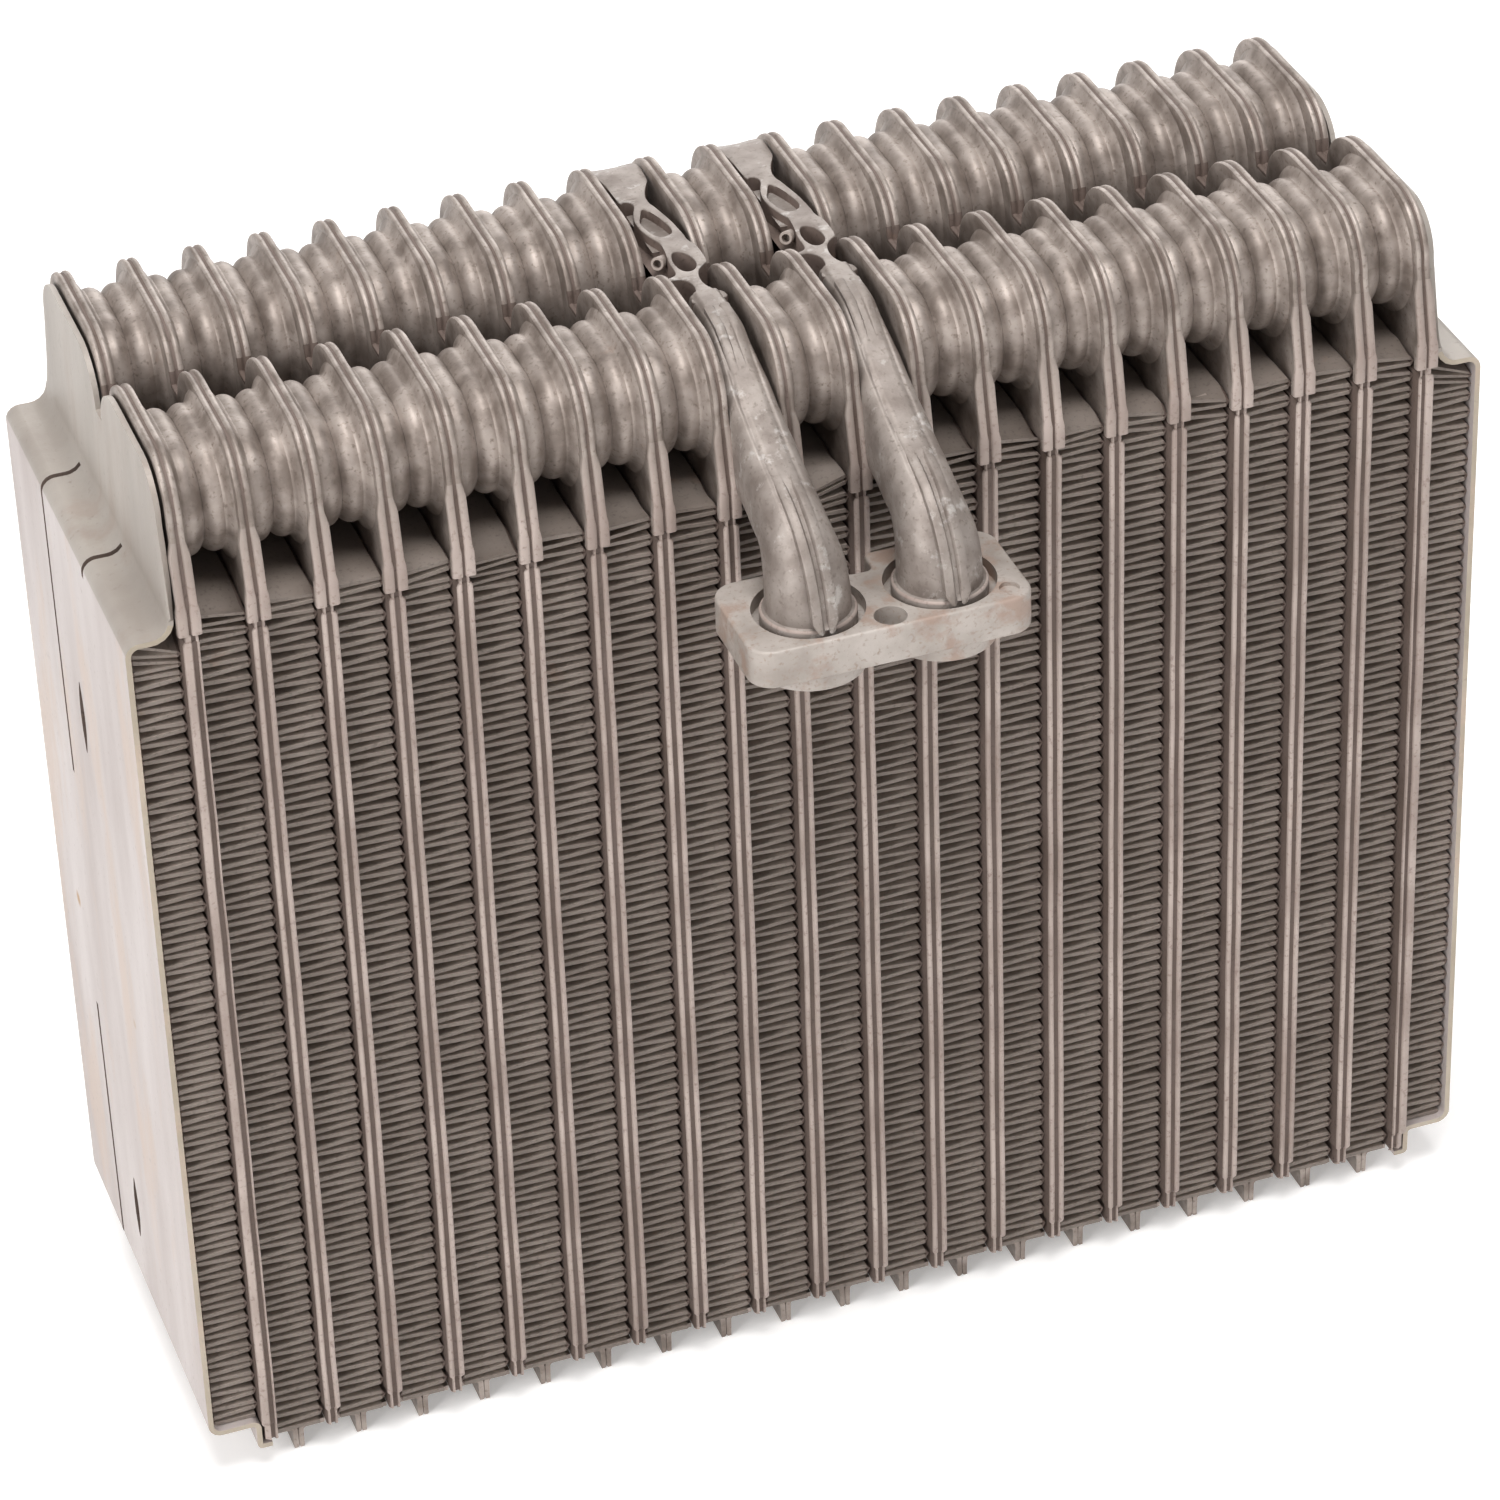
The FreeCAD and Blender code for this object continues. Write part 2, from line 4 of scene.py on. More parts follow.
import bmesh
import bpy
from mathutils import Matrix, Vector, noise


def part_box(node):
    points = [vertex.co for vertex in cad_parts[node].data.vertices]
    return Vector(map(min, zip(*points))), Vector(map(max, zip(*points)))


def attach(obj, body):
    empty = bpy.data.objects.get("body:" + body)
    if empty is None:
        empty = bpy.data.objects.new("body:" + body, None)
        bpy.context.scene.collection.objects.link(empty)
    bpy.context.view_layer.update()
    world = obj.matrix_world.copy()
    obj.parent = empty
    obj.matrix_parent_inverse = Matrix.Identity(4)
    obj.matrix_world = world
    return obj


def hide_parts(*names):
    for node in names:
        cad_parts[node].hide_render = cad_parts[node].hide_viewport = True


# Evaporator core: the pressed tubes, folded fins, side plates, ducts and block in their real sheet detail.
# Lengths are in millimetres. A piece is drawn from the front edge of the tubes and moved back to the frame.

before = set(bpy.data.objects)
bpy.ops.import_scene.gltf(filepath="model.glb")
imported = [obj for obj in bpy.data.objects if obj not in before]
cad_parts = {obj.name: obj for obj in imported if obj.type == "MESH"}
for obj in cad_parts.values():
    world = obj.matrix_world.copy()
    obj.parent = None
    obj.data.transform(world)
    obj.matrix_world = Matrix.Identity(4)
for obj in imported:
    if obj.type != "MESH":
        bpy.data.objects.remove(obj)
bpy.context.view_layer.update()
mm = 0.001

stack = {"tubes": 20, "depth": 88.0, "neck": 183.4, "foot": 5.6, "ductGaps": (9, 11)}


def boxOf(node):
    low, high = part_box(node)
    return [value / mm for value in low], [value / mm for value in high]


# The frame says where the stack stands: its pitch and the front edge of its tubes.
firstFin, lastFin = boxOf("fin_01"), boxOf("fin_19")
pitch = (lastFin[0][0] - firstFin[0][0]) / (stack["tubes"] - 2)
frontEdge = (firstFin[0][1] + firstFin[1][1] - stack["depth"]) / 2


def tubeX(number):
    return (number - (stack["tubes"] + 1) / 2) * pitch


# Colours and materials

def linear(hexColour):
    channels = [int(hexColour[i:i + 2], 16) / 255 for i in (1, 3, 5)]
    return [c / 12.92 if c <= 0.04045 else ((c + 0.055) / 1.055) ** 2.4 for c in channels] + [1.0]


# Settings go to the node's own values or to its sockets, by name or number. Links go to its sockets.
def addNode(tree, kind, settings=None, links=None):
    node = tree.nodes.new(kind)
    for name, value in (settings or {}).items():
        if isinstance(name, str) and name not in node.inputs:
            setattr(node, name, value)
        else:
            node.inputs[name].default_value = value
    for name, output in (links or {}).items():
        tree.links.new(output, node.inputs[name])
    return node


def newMaterial(name, roughness, metallic):
    material = bpy.data.materials.new(name)
    material.use_nodes = True
    tree = material.node_tree
    shader = tree.nodes["Principled BSDF"]
    shader.inputs["Roughness"].default_value = roughness
    shader.inputs["Metallic"].default_value = metallic
    return material, tree, shader


# Sizes of patches, grain and stains are in millimetres. The real grain is 0.1 mm, drawn coarser to show.
# Tube plates: grey-brown sheet with a broken satin sheen, cleaner patches and a few brown blotches.
brazing = {"dull": "#7f736b", "clean": "#aea29a", "dark": "#75685f", "patch": 5.5, "grain": 0.8,
           "specks": 0.56, "roughness": 0.5, "metallic": 0.4, "grainDepth": 0.1, "stretch": (1.0, 1.0, 1.0),
           "stain": "#8d7464", "stainSize": 14.0, "stainFrom": 0.66, "stainMix": 0.7}
# Rolled edges: pale, even and almost matte, so each lip reads as a light line.
rolledEdge = dict(brazing, dull="#9c8c84", clean="#b8a9a1", dark="#8a7870", patch=16.0,
                  roughness=0.55, metallic=0.2)
# Seams: burnt flux, dark brown and matte. The same brown is painted on as painted shade beside the fins, in
# the slits and in the duct's cells.
seamFluxAndShade = dict(brazing, dull="#63544c", clean="#70615a", dark="#52443d", patch=12.0,
                   roughness=0.7, metallic=0.1)
# Fins: thin sheet in matte warm grey, painted lighter as painted light in the shaded gaps. The cut edges of
# its runs are a tone darker.
finSheet = dict(brazing, dull="#9c8f85", clean="#aea197", dark="#887b71", patch=14.0,
                roughness=0.6, metallic=0.1)
finEdgeAndTopShade = dict(finSheet, dull="#786d65", clean="#877c74", dark="#685d55")
# Side plates: whitish sheet with a soft sheen. Its patches and faint tan stains are drawn out downwards.
plateSheet = dict(brazing, dull="#afa39f", clean="#c5bcb9", dark="#a39691", patch=18.0, grain=1.2,
                  specks=0.62, metallic=0.15, stretch=(1.0, 1.0, 0.22), stain="#bfa999", stainSize=16.0,
                  stainFrom=0.52, stainMix=0.6)
# The upper wall and shelf are painted greyer, as painted shade, and the cut edges are cream.
upperPlate = dict(plateSheet, dull="#9c938b", clean="#aea69e", dark="#8f857d", stain="#978579", stainMix=0.4)
plateEdge = dict(plateSheet, dull="#a69a89", clean="#b8ac9c", dark="#95887a", stretch=(1.0, 1.0, 1.0))
# Block: machined metal in plain light grey with pinkish brown stains.
blockMetal = dict(brazing, dull="#a0968e", clean="#b9b0a9", dark="#97867a", patch=7.0, roughness=0.5,
                  metallic=0.2, stain="#a08677", stainSize=8.0, stainFrom=0.52)
# Ducts: pressed sheet in mottled grey, with pale patches where the flux has dried.
ductSheet = dict(brazing, dull="#827770", clean="#a0968f", dark="#776b63", patch=5.0, roughness=0.52,
                 metallic=0.35, stain="#c6c0bb", stainSize=4.0, stainFrom=0.58)


# Aluminium out of the brazing furnace: two tones in soft patches, stains and dark specks on a fine grain.
def brazedSheet(name, finish):
    material, tree, shader = newMaterial(name, finish["roughness"], finish["metallic"])
    place = addNode(tree, "ShaderNodeTexCoord")
    along = addNode(tree, "ShaderNodeMapping", {"Scale": finish["stretch"]},
                    {"Vector": place.outputs["Object"]})
    patches = addNode(tree, "ShaderNodeTexNoise", {"Scale": 1 / (finish["patch"] * mm), "Detail": 4.0},
                      {"Vector": along.outputs["Vector"]})
    cleaner = addNode(tree, "ShaderNodeMapRange", {"From Min": 0.35, "From Max": 0.65},
                      {"Value": patches.outputs["Fac"]})
    tones = {"data_type": "RGBA", 6: linear(finish["dull"]), 7: linear(finish["clean"])}
    mottled = addNode(tree, "ShaderNodeMix", tones, {"Factor": cleaner.outputs["Result"]})
    blotches = {"Scale": 1 / (finish["stainSize"] * mm), "Detail": 7.0, "Roughness": 0.62}
    stains = addNode(tree, "ShaderNodeTexNoise", blotches, {"Vector": along.outputs["Vector"]})
    strength = {"From Min": finish["stainFrom"], "From Max": finish["stainFrom"] + 0.1,
                "To Max": finish["stainMix"]}
    stained = addNode(tree, "ShaderNodeMapRange", strength, {"Value": stains.outputs["Fac"]})
    marked = addNode(tree, "ShaderNodeMix", {"data_type": "RGBA", 7: linear(finish["stain"])},
                     {"Factor": stained.outputs["Result"], 6: mottled.outputs[2]})
    grain = addNode(tree, "ShaderNodeTexNoise", {"Scale": 1 / (finish["grain"] * mm), "Detail": 6.0},
                    {"Vector": place.outputs["Object"]})
    limits = {"From Min": finish["specks"], "From Max": finish["specks"] + 0.2}
    specks = addNode(tree, "ShaderNodeMapRange", limits, {"Value": grain.outputs["Fac"]})
    colour = addNode(tree, "ShaderNodeMix", {"data_type": "RGBA", 7: linear(finish["dark"])},
                     {"Factor": specks.outputs["Result"], 6: marked.outputs[2]})
    bump = addNode(tree, "ShaderNodeBump", {"Strength": 0.5, "Distance": finish["grainDepth"] * mm},
                   {"Height": grain.outputs["Fac"]})
    tree.links.new(colour.outputs[2], shader.inputs["Base Color"])
    tree.links.new(bump.outputs["Normal"], shader.inputs["Normal"])
    return material


# A further colour over what the material has, where the factor is high.
def addLayer(material, colour, factor):
    base = material.node_tree.nodes["Principled BSDF"].inputs["Base Color"]
    layer = addNode(material.node_tree, "ShaderNodeMix", {"data_type": "RGBA", 7: linear(colour)},
                    {"Factor": factor, 6: base.links[0].from_socket})
    material.node_tree.links.new(layer.outputs[2], base)


# A drop of flux has burned to a small golden spot on the outer face of a plate.
def addFluxSpot(material, spot):
    tree = material.node_tree
    centre = [value * mm for value in spot["place"]]
    radius = spot["radius"] * mm
    place = addNode(tree, "ShaderNodeTexCoord")
    away = addNode(tree, "ShaderNodeVectorMath", {"operation": "DISTANCE", 1: centre},
                   {0: place.outputs["Object"]})
    inside = addNode(tree, "ShaderNodeMapRange", {"From Min": radius, "From Max": radius * 0.4},
                     {"Value": away.outputs["Value"]})
    addLayer(material, spot["colour"], inside.outputs["Result"])


# The pale rolled edges take the tone of the tank sheet above the pads.
def addFade(material, fade):
    tree = material.node_tree
    place = addNode(tree, "ShaderNodeTexCoord")
    parts = addNode(tree, "ShaderNodeSeparateXYZ", {}, {"Vector": place.outputs["Object"]})
    limits = {"From Min": fade["from"] * mm, "From Max": fade["to"] * mm, "To Max": fade["mix"]}
    height = addNode(tree, "ShaderNodeMapRange", limits, {"Value": parts.outputs["Z"]})
    addLayer(material, fade["colour"], height.outputs["Result"])


edgeFade = {"from": 190.0, "to": 200.0, "mix": 0.85, "colour": "#978b83"}
fluxSpots = ({"place": (-125.2, 42.3, 86.2), "radius": 1.9, "colour": "#a8845a"},
             {"place": (-125.2, 1.3, 85.6), "radius": 1.2, "colour": "#b09a86"})

print("scene: materials")
tubeMaterial = brazedSheet("brazedTubeSheet", brazing)
edgeMaterial = brazedSheet("rolledTubeEdge", rolledEdge)
fluxAndShadeMaterial = brazedSheet("brazedFluxAndShade", seamFluxAndShade)
finMaterial = brazedSheet("foldedFinStrip", finSheet)
finEdgeAndTopShadeMaterial = brazedSheet("cutFinEdge", finEdgeAndTopShade)
plateMaterial = brazedSheet("bentPlateSheet", plateSheet)
upperPlateMaterial = brazedSheet("greyPlateSheet", upperPlate)
plateEdgeMaterial = brazedSheet("cutPlateEdge", plateEdge)
addFade(edgeMaterial, edgeFade)
for spot in fluxSpots:
    addFluxSpot(plateMaterial, spot)
ductMaterial = brazedSheet("pressedDuctSheet", ductSheet)
blockMaterial = brazedSheet("machinedBlock", blockMetal)


# Mesh work that the pieces share

def arc(y, z, radiusY, radiusZ, start, end, steps):
    turns = [math.radians(start + (end - start) * step / steps) for step in range(steps + 1)]
    return [(y + radiusY * math.cos(turn), z + radiusZ * math.sin(turn)) for turn in turns]


# The paint is one material number for each side of the ring.
def addLoft(bm, rings, closed=True, capStart=False, capEnd=False, paint=None):
    rows = [[bm.verts.new(point) for point in ring] for ring in rings]
    count = len(rows[0])
    for near, far in zip(rows, rows[1:]):
        for index in range(count if closed else count - 1):
            following = (index + 1) % count
            face = bm.faces.new((near[index], near[following], far[following], far[index]))
            face.material_index = paint[index] if paint else 0
    if capStart:
        bm.faces.new(rows[0][::-1])
    if capEnd:
        bm.faces.new(rows[-1])
    return rows


# Normals to the right of a path in the side plane, which is inward for a path that runs over the top.
def inwardNormals(path, closed=False):
    normals = []
    for index, (y, z) in enumerate(path):
        before = path[index - 1] if index or closed else (y, z)
        after = path[(index + 1) % len(path)] if index < len(path) - 1 or closed else (y, z)
        along = Vector((after[0] - before[0], after[1] - before[1])).normalized()
        normals.append((along.y, -along.x))
    return normals


# Half of a strip pair's section, as widths and depths, is mirrored and set across the path at one place.
def mirroredRing(place, inward, section):
    whole = [(-x, inset) for x, inset in reversed(section[1:])] + section
    return [(x, place[0] + inward[0] * inset, place[1] + inward[1] * inset) for x, inset in whole]


def newObject(name, data):
    made = bpy.data.objects.new(name, data)
    bpy.context.collection.objects.link(made)
    return made


def meshObject(name, bm):
    mesh = bpy.data.meshes.new(name)
    bm.to_mesh(mesh)
    bm.free()
    return newObject(name, mesh)


def makePiece(name, bm, materials, nodes, creaseAngle):
    bmesh.ops.recalc_face_normals(bm, faces=bm.faces)
    bmesh.ops.transform(bm, matrix=Matrix.Scale(mm, 4), verts=bm.verts)
    piece = meshObject(name, bm)
    piece.data.shade_smooth()
    piece.data.set_sharp_from_angle(angle=math.radians(creaseAngle))
    for material in materials:
        piece.data.materials.append(material)
    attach(piece, "root")
    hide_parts(*nodes)
    return piece


# Tubes

# Numbers of the materials on a tube, and on a fin too.
body, edge, fluxAndShade = 0, 1, 2
lips = {"half": 1.44, "body": 1.4, "seam": 0.42, "seamDepth": 0.5, "bottom": 10.4, "stub": 0.9,
        "stubInset": 0.6, "notchHeight": 1.5, "notchDepth": 0.35, "notchHalf": 0.95, "levels": 14,
        "wander": 0.07, "endSeamShift": 0.6, "crease": 38}
rim = {"padSeam": 0.2, "stripSeam": 0.34, "flangeSeam": 0.28, "seamDepth": 0.5,
       "pad": 2.12, "padRise": 4.5, "strip": 1.86, "stripEnd": 15.0, "flange": 1.34, "blend": 1.3,
       "web": 1.15, "reach": 2.5, "crestDepth": 0.26, "paleEnd": 17.0, "gapFrom": 39.6, "gapTop": 206.6,
       "front": 3.3, "top": 213.75, "corner": 11.0, "crestEnd": 30.8, "valley": 42.0, "drop": 9.0}
cups = {"middle": 21.6, "height": 200.6, "radius": 10.85, "straight": 3.85, "steps": 28,
        "profile": ((1.15, -1.9), (1.55, -1.5), (1.9, -0.9), (2.15, -0.35), (2.4, 0.02), (2.7, 0.16),
                    (3.0, 0.08), (3.4, 0.0), (3.9, -0.02), (4.4, 0.1), (4.9, 0.35), (5.3, 0.68), (5.6, 1.02),
                    (5.82, 1.35), (5.97, 1.5))}
feet = {"setback": 4.5, "width": 5.0, "sheet": 1.0, "tip": 5.95, "bend": 0.6}


# Half of a tube's end from the side to the seam: the lip swells, rolls round and stops at a shallow seam.
def lipFront(half, sheet):
    seam, depth = lips["seam"], lips["seamDepth"]
    return [(sheet, 9.0), (sheet, 2.8), (half, 1.7), (half + 0.02, 0.55), (half - 0.1, 0.16),
            (half - 0.36, 0.0), (seam + 0.28, 0.02), (seam + 0.1, 0.2), (seam, depth), (0.0, depth + 0.05)]


# The sides of each lip are painted brown, partly flux and partly painted shade beside the fins. The seam
# floor is brown with flux.
lipPaint = [fluxAndShade, fluxAndShade, fluxAndShade, edge, edge, edge, edge, edge, fluxAndShade]
lipPaint = lipPaint + lipPaint[::-1] + [body]
lipPaint = lipPaint + lipPaint


def lipRing(z, half, inset, sheet, shiftX, shiftY, seamShift):
    front = lipFront(half, sheet)
    nearSeam = lips["seam"] + 0.4
    outline = []
    for x, y in front + [(-x, y) for x, y in reversed(front[:-1])]:
        moved = x + (seamShift if abs(x) < nearSeam else 0.0) + shiftX
        outline.append((moved, y + (inset if y < 2.7 else 0.0) + shiftY))
    return [(x, y, z) for x, y in outline] + [(x, stack["depth"] - y, z) for x, y in reversed(outline)]


# Both plates end in rolled lips, which are cut back in a notch under the neck and above the stub.
def addLips(bm, chance, seamShift):
    neck, bottom, sheet, half = stack["neck"], lips["bottom"], lips["body"], lips["half"]
    notch = neck - lips["notchHeight"]
    stub, narrow = lips["stub"], lips["notchHalf"]
    levels = [(stack["foot"], stub, 2.2, stub), (stack["foot"] + 1.2, stub, lips["stubInset"], stub),
              (bottom - 0.2, stub, lips["stubInset"], stub), (bottom, half - 0.3, 0.35, sheet)]
    rounds = lips["levels"]
    levels += [(bottom + 0.5 + (notch - bottom - 1.0) * step / rounds, half, 0.0, sheet)
               for step in range(rounds + 1)]
    levels += [(notch, half - 0.3, 0.2, sheet), (notch + 0.06, narrow, lips["notchDepth"], narrow),
               (neck, narrow, lips["notchDepth"], narrow)]
    rings = []
    for z, halfHere, inset, sheetHere in levels:
        moving = halfHere == half
        shiftX = chance.uniform(-1, 1) * lips["wander"] if moving else 0.0
        shiftY = chance.uniform(0, 1) * lips["wander"] if moving else 0.0
        rings.append(lipRing(z, halfHere, inset, sheetHere, shiftX, shiftY, seamShift))
    addLoft(bm, rings, capStart=True, capEnd=True, paint=lipPaint)


def rimPath():
    neck, top, corner = stack["neck"], rim["top"], rim["corner"]
    rise = [(0.0, neck), (0.0, neck + 2.2), (0.0, neck + rim["padRise"])]
    cornerStart = (rim["front"], top - corner)
    for step in range(1, 12):
        share = step / 12
        rise.append((cornerStart[0] * share, rise[2][1] + (cornerStart[1] - rise[2][1]) * share))
    hump = arc(rim["front"] + corner, top - corner, corner, corner, 180, 90, 14)
    hump += arc(rim["crestEnd"], top - rim["drop"], rim["valley"] - rim["crestEnd"], rim["drop"], 90, 0, 12)
    frontHalf = rise + hump
    return frontHalf + [(stack["depth"] - y, z) for y, z in reversed(frontHalf)]


def blendTo(low, high, value, start):
    share = min(1.0, max(0.0, (value - start) / rim["blend"]))
    return low + (high - low) * share


# The flange is two sheets with a seam between them. Down its front it widens into two strips, then a pad.
def rimSection(rise):
    half = blendTo(rim["pad"], rim["strip"], rise, rim["padRise"] - 0.2)
    seam = blendTo(rim["padSeam"], rim["stripSeam"], rise, rim["padRise"])
    if rise > rim["stripEnd"]:
        half = blendTo(rim["strip"], rim["flange"], rise, rim["stripEnd"])
        seam = blendTo(rim["stripSeam"], rim["flangeSeam"], rise, rim["stripEnd"])
    depth = blendTo(rim["seamDepth"], rim["crestDepth"], rise, rim["stripEnd"])
    return [(0.0, depth + 0.05), (seam, depth), (seam + 0.1, 0.14), (seam + 0.28, 0.0), (half - 0.4, 0.0),
            (half - 0.12, 0.16), (half, 0.55), (half, 1.4), (rim["web"], rim["reach"])]


# The sides of the flange are painted the same brown, partly flux and partly painted shade.
rimPaint = [body, body, edge, edge, edge, edge, edge, fluxAndShade]
rimPaint = rimPaint + rimPaint[::-1]


def addFlange(bm):
    path, neckTop = rimPath(), stack["neck"]
    rings = [mirroredRing(place, inward, rimSection(place[1] - neckTop))
             for place, inward in zip(path, inwardNormals(path))]
    rows = addLoft(bm, rings, closed=False, capStart=True, capEnd=True, paint=rimPaint)
    bm.faces.new([row[0] for row in rows])
    bm.faces.new([row[-1] for row in rows[::-1]])
    bm.faces.new((rows[0][0], rows[0][-1], rows[-1][-1], rows[-1][0]))
    # The pale edge fades above the pads, and burnt flux stays in the gap between the two tanks.
    for face in bm.faces:
        middle = face.calc_center_median()
        if face.material_index == edge and middle.z > neckTop + rim["paleEnd"]:
            inGap = abs(middle.y - stack["depth"] / 2) < stack["depth"] / 2 - rim["gapFrom"]
            face.material_index = fluxAndShade if inGap and middle.z < rim["gapTop"] else body


def cupRing(middle, x, inset):
    radius = cups["radius"] - inset
    steps = cups["steps"]
    outline = arc(middle + cups["straight"], cups["height"], radius, radius, -90, 90, steps)
    outline += arc(middle - cups["straight"], cups["height"], radius, radius, 90, 270, steps)
    return [(x, y, z) for y, z in outline]


# A cup leaves the flange in a fillet, bulges and turns in to the joint halfway across the gap.
def addCups(bm, side):
    for middle in (cups["middle"], stack["depth"] - cups["middle"]):
        rings = [cupRing(middle, side * x, inset) for x, inset in cups["profile"]]
        addLoft(bm, rings, capEnd=True)


# A leaf runs out under the fins and turns down beside the next tube's leaf.
def addFeet(bm, side):
    leaf, tip, bend, under = feet["sheet"], feet["tip"], feet["bend"], stack["foot"] - 0.1
    inner = arc(tip - leaf - bend, under - leaf - bend, bend, bend, 90, 0, 5)
    outer = arc(tip - leaf - bend, under - leaf - bend, bend + leaf, bend + leaf, 90, 0, 5)
    profile = [(lips["stub"], under)] + outer + [(tip, 0.3), (tip - 0.25, 0.0), (tip - leaf + 0.1, 0.0)]
    profile += inner[::-1] + [(lips["stub"], under - leaf)]
    for start in (feet["setback"], stack["depth"] - feet["setback"] - feet["width"]):
        ends = (start, start + feet["width"])
        rings = [[(side * x, y, z) for x, z in profile] for y in ends]
        addLoft(bm, rings, capStart=True, capEnd=True)


def cupSides(number):
    sides = [-1, 1]
    if number == 1 or number - 1 in stack["ductGaps"]:
        sides.remove(-1)
    if number == stack["tubes"] or number in stack["ductGaps"]:
        sides.remove(1)
    return sides


def makeTube(number):
    chance = random.Random(number)
    bm = bmesh.new()
    # The seams of the two end tubes sit off the middle, towards the stack.
    seamShift = {1: lips["endSeamShift"], stack["tubes"]: -lips["endSeamShift"]}.get(number, 0.0)
    addLips(bm, chance, seamShift)
    addFlange(bm)
    for side in cupSides(number):
        addCups(bm, side)
    for side in (-1, 1):
        if 1 <= number + (side - 1) / 2 < stack["tubes"]:
            addFeet(bm, side)
    bmesh.ops.translate(bm, vec=(tubeX(number), frontEdge, 0), verts=bm.verts)
    finishes = (tubeMaterial, edgeMaterial, fluxAndShadeMaterial)
    return makePiece("tube%02d" % number, bm, finishes, ["tube_%02d" % number],
                     lips["crease"])


print("scene: tubes")
for number in range(1, stack["tubes"] + 1):
    makeTube(number)


# Fins

# The real sheet is 0.1 mm thick and is drawn thicker to show.
fins = {"strips": 100, "sheet": 0.7, "inset": 0.03, "bend": 0.55, "bendSheet": 0.35, "tilt": 0.2,
        "unevenTilt": 0.08, "unevenPitch": 0.05, "frontWave": 0.25, "crumple": 5.5, "crumpleDepth": 13.0,
        "crumpleHeight": 7.0, "crumpleScale": (0.1, 0.12), "fluxShadeWidth": 0.95,
        "depths": (0.0, 1.5, 3.2, 5.5, 8.5, 13.0), "crease": 50}


# One strip is folded up and down the gap in tight turns, and its runs lean a little towards each turn.
def stripPath(low, high, chance):
    half = (high[0] - low[0]) / 2 - fins["inset"]
    middle = (high[0] + low[0]) / 2
    thick = fins["sheet"] / 2
    spacing = (high[2] - low[2] - 2 * thick) / fins["strips"]
    levels = [low[2] + thick + spacing * step for step in range(fins["strips"] + 1)]
    levels = [z + chance.uniform(-1, 1) * fins["unevenPitch"] * spacing if 0 < i < fins["strips"] else z
              for i, z in enumerate(levels)]
    path = []
    for index, (z, following) in enumerate(zip(levels, levels[1:] + [None])):
        side = 1 if index % 2 else -1
        lean = fins["tilt"] + chance.uniform(-1, 1) * fins["unevenTilt"]
        rise = lean if index < fins["strips"] else 0.0
        path.append((middle - side * (half - fins["bend"]), z - lean if index else z, 1.0))
        path.append((middle + side * (half - fins["bend"]), z + rise, 1.0))
        if following is not None:
            path.append((middle + side * half, z + rise * 0.5 + following * 0.5 - z * 0.5, fins["bendSheet"]))
    return path


def thickPath(path, half):
    outline = []
    for turn in (1, -1):
        points = path[::turn]
        for (x, z, share), (inX, inZ) in zip(points, inwardNormals([point[:2] for point in points])):
            outline.append((x + inX * half * share, z + inZ * half * share))
    return outline


# The top of a strip is crumpled where it was pushed in from the front.
def crumple(x, y, z, low, high, number):
    nearFront = max(0.0, 1 - (y - low[1]) / fins["crumpleDepth"])
    near = nearFront * max(0.0, 1 - (high[2] - z) / fins["crumpleHeight"])
    scaleX, scaleY = fins["crumpleScale"]
    lift = min(0.0, noise.noise(Vector((x * scaleX, y * scaleY, number))) - 0.1)
    return x, y, min(max(z + lift * near * fins["crumple"], low[2]), high[2])


def makeFins(node, number):
    chance = random.Random(100 + number)
    low, high = boxOf(node)
    outline = thickPath(stripPath(low, high, chance), fins["sheet"] / 2)
    bm = bmesh.new()
    front = low[1] + chance.uniform(0, 1) * fins["frontWave"]
    rings = [[crumple(x, y, z, low, high, number) for x, z in outline]
             for y in [front + depth for depth in fins["depths"]] + [high[1]]]
    # Beside the tubes the turns of the strip are painted brown, partly flux and partly painted shade.
    across, reach = (low[0] + high[0]) / 2, (high[0] - low[0]) / 2 - fins["fluxShadeWidth"]
    paint = []
    for (x, z), (nextX, nextZ) in zip(outline, outline[1:] + outline[:1]):
        # The topmost run is painted in the edges' darker tone, as painted shade under the tanks.
        topmost = min(z, nextZ) > high[2] - fins["sheet"] / 2
        atTube = abs((x + nextX) / 2 - across) > reach
        paint.append(fluxAndShade if atTube else edge if topmost else body)
    rows = addLoft(bm, rings, paint=paint)
    for row in (rows[0], rows[-1]):
        count = len(row)
        for index in range(count // 2 - 1):
            end = bm.faces.new((row[index], row[index + 1], row[count - 2 - index], row[count - 1 - index]))
            end.material_index = max(edge, paint[index])
    finishes = (finMaterial, finEdgeAndTopShadeMaterial, fluxAndShadeMaterial)
    return makePiece(node.replace("_", ""), bm, finishes, [node], fins["crease"])


print("scene: fins")
finNodes = ["fin_%02d" % gap for gap in range(1, stack["tubes"])] + ["fin_left_end", "fin_right_end"]
for number, node in enumerate(finNodes):
    makeFins(node, number)


# Side plates

# Numbers of the materials on a side plate.
outerSheet, upperSheet, slitWall, cutEdge = 0, 1, 2, 3
# A slit has its place, its lower and upper end and its half width. One without an end runs out into a bend.
plates = {"setback": 1.5, "gauge": 1.0, "bend": 2.5, "wallBend": 3.2, "wall": 117.35, "outer": 125.2,
          "top": 183.1, "floor": 10.1, "leg": 116.4, "hook": 113.6, "hookBottom": 4.6, "legBend": 0.7,
          "front": 5.0, "crest": 211.85, "corner": 9.1, "crestEnd": 31.75, "valley": 42.0, "drop": 9.0,
          "slitStop": 0.9, "slotEnd": 0.15, "slotRows": 8, "greyFrom": 181.5, "wallLean": 0.5, "wallRows": 6,
          "slits": ((60.0, 121.1, None, 0.6), (31.0, 179.6, None, 0.6), (45.0, 134.6, 149.6, 1.7),
                    (47.0, 23.4, 37.3, 1.7), (63.5, None, 66.6, 0.65)),
          "edge": 0.08, "edgeAngle": 60, "crease": 30}


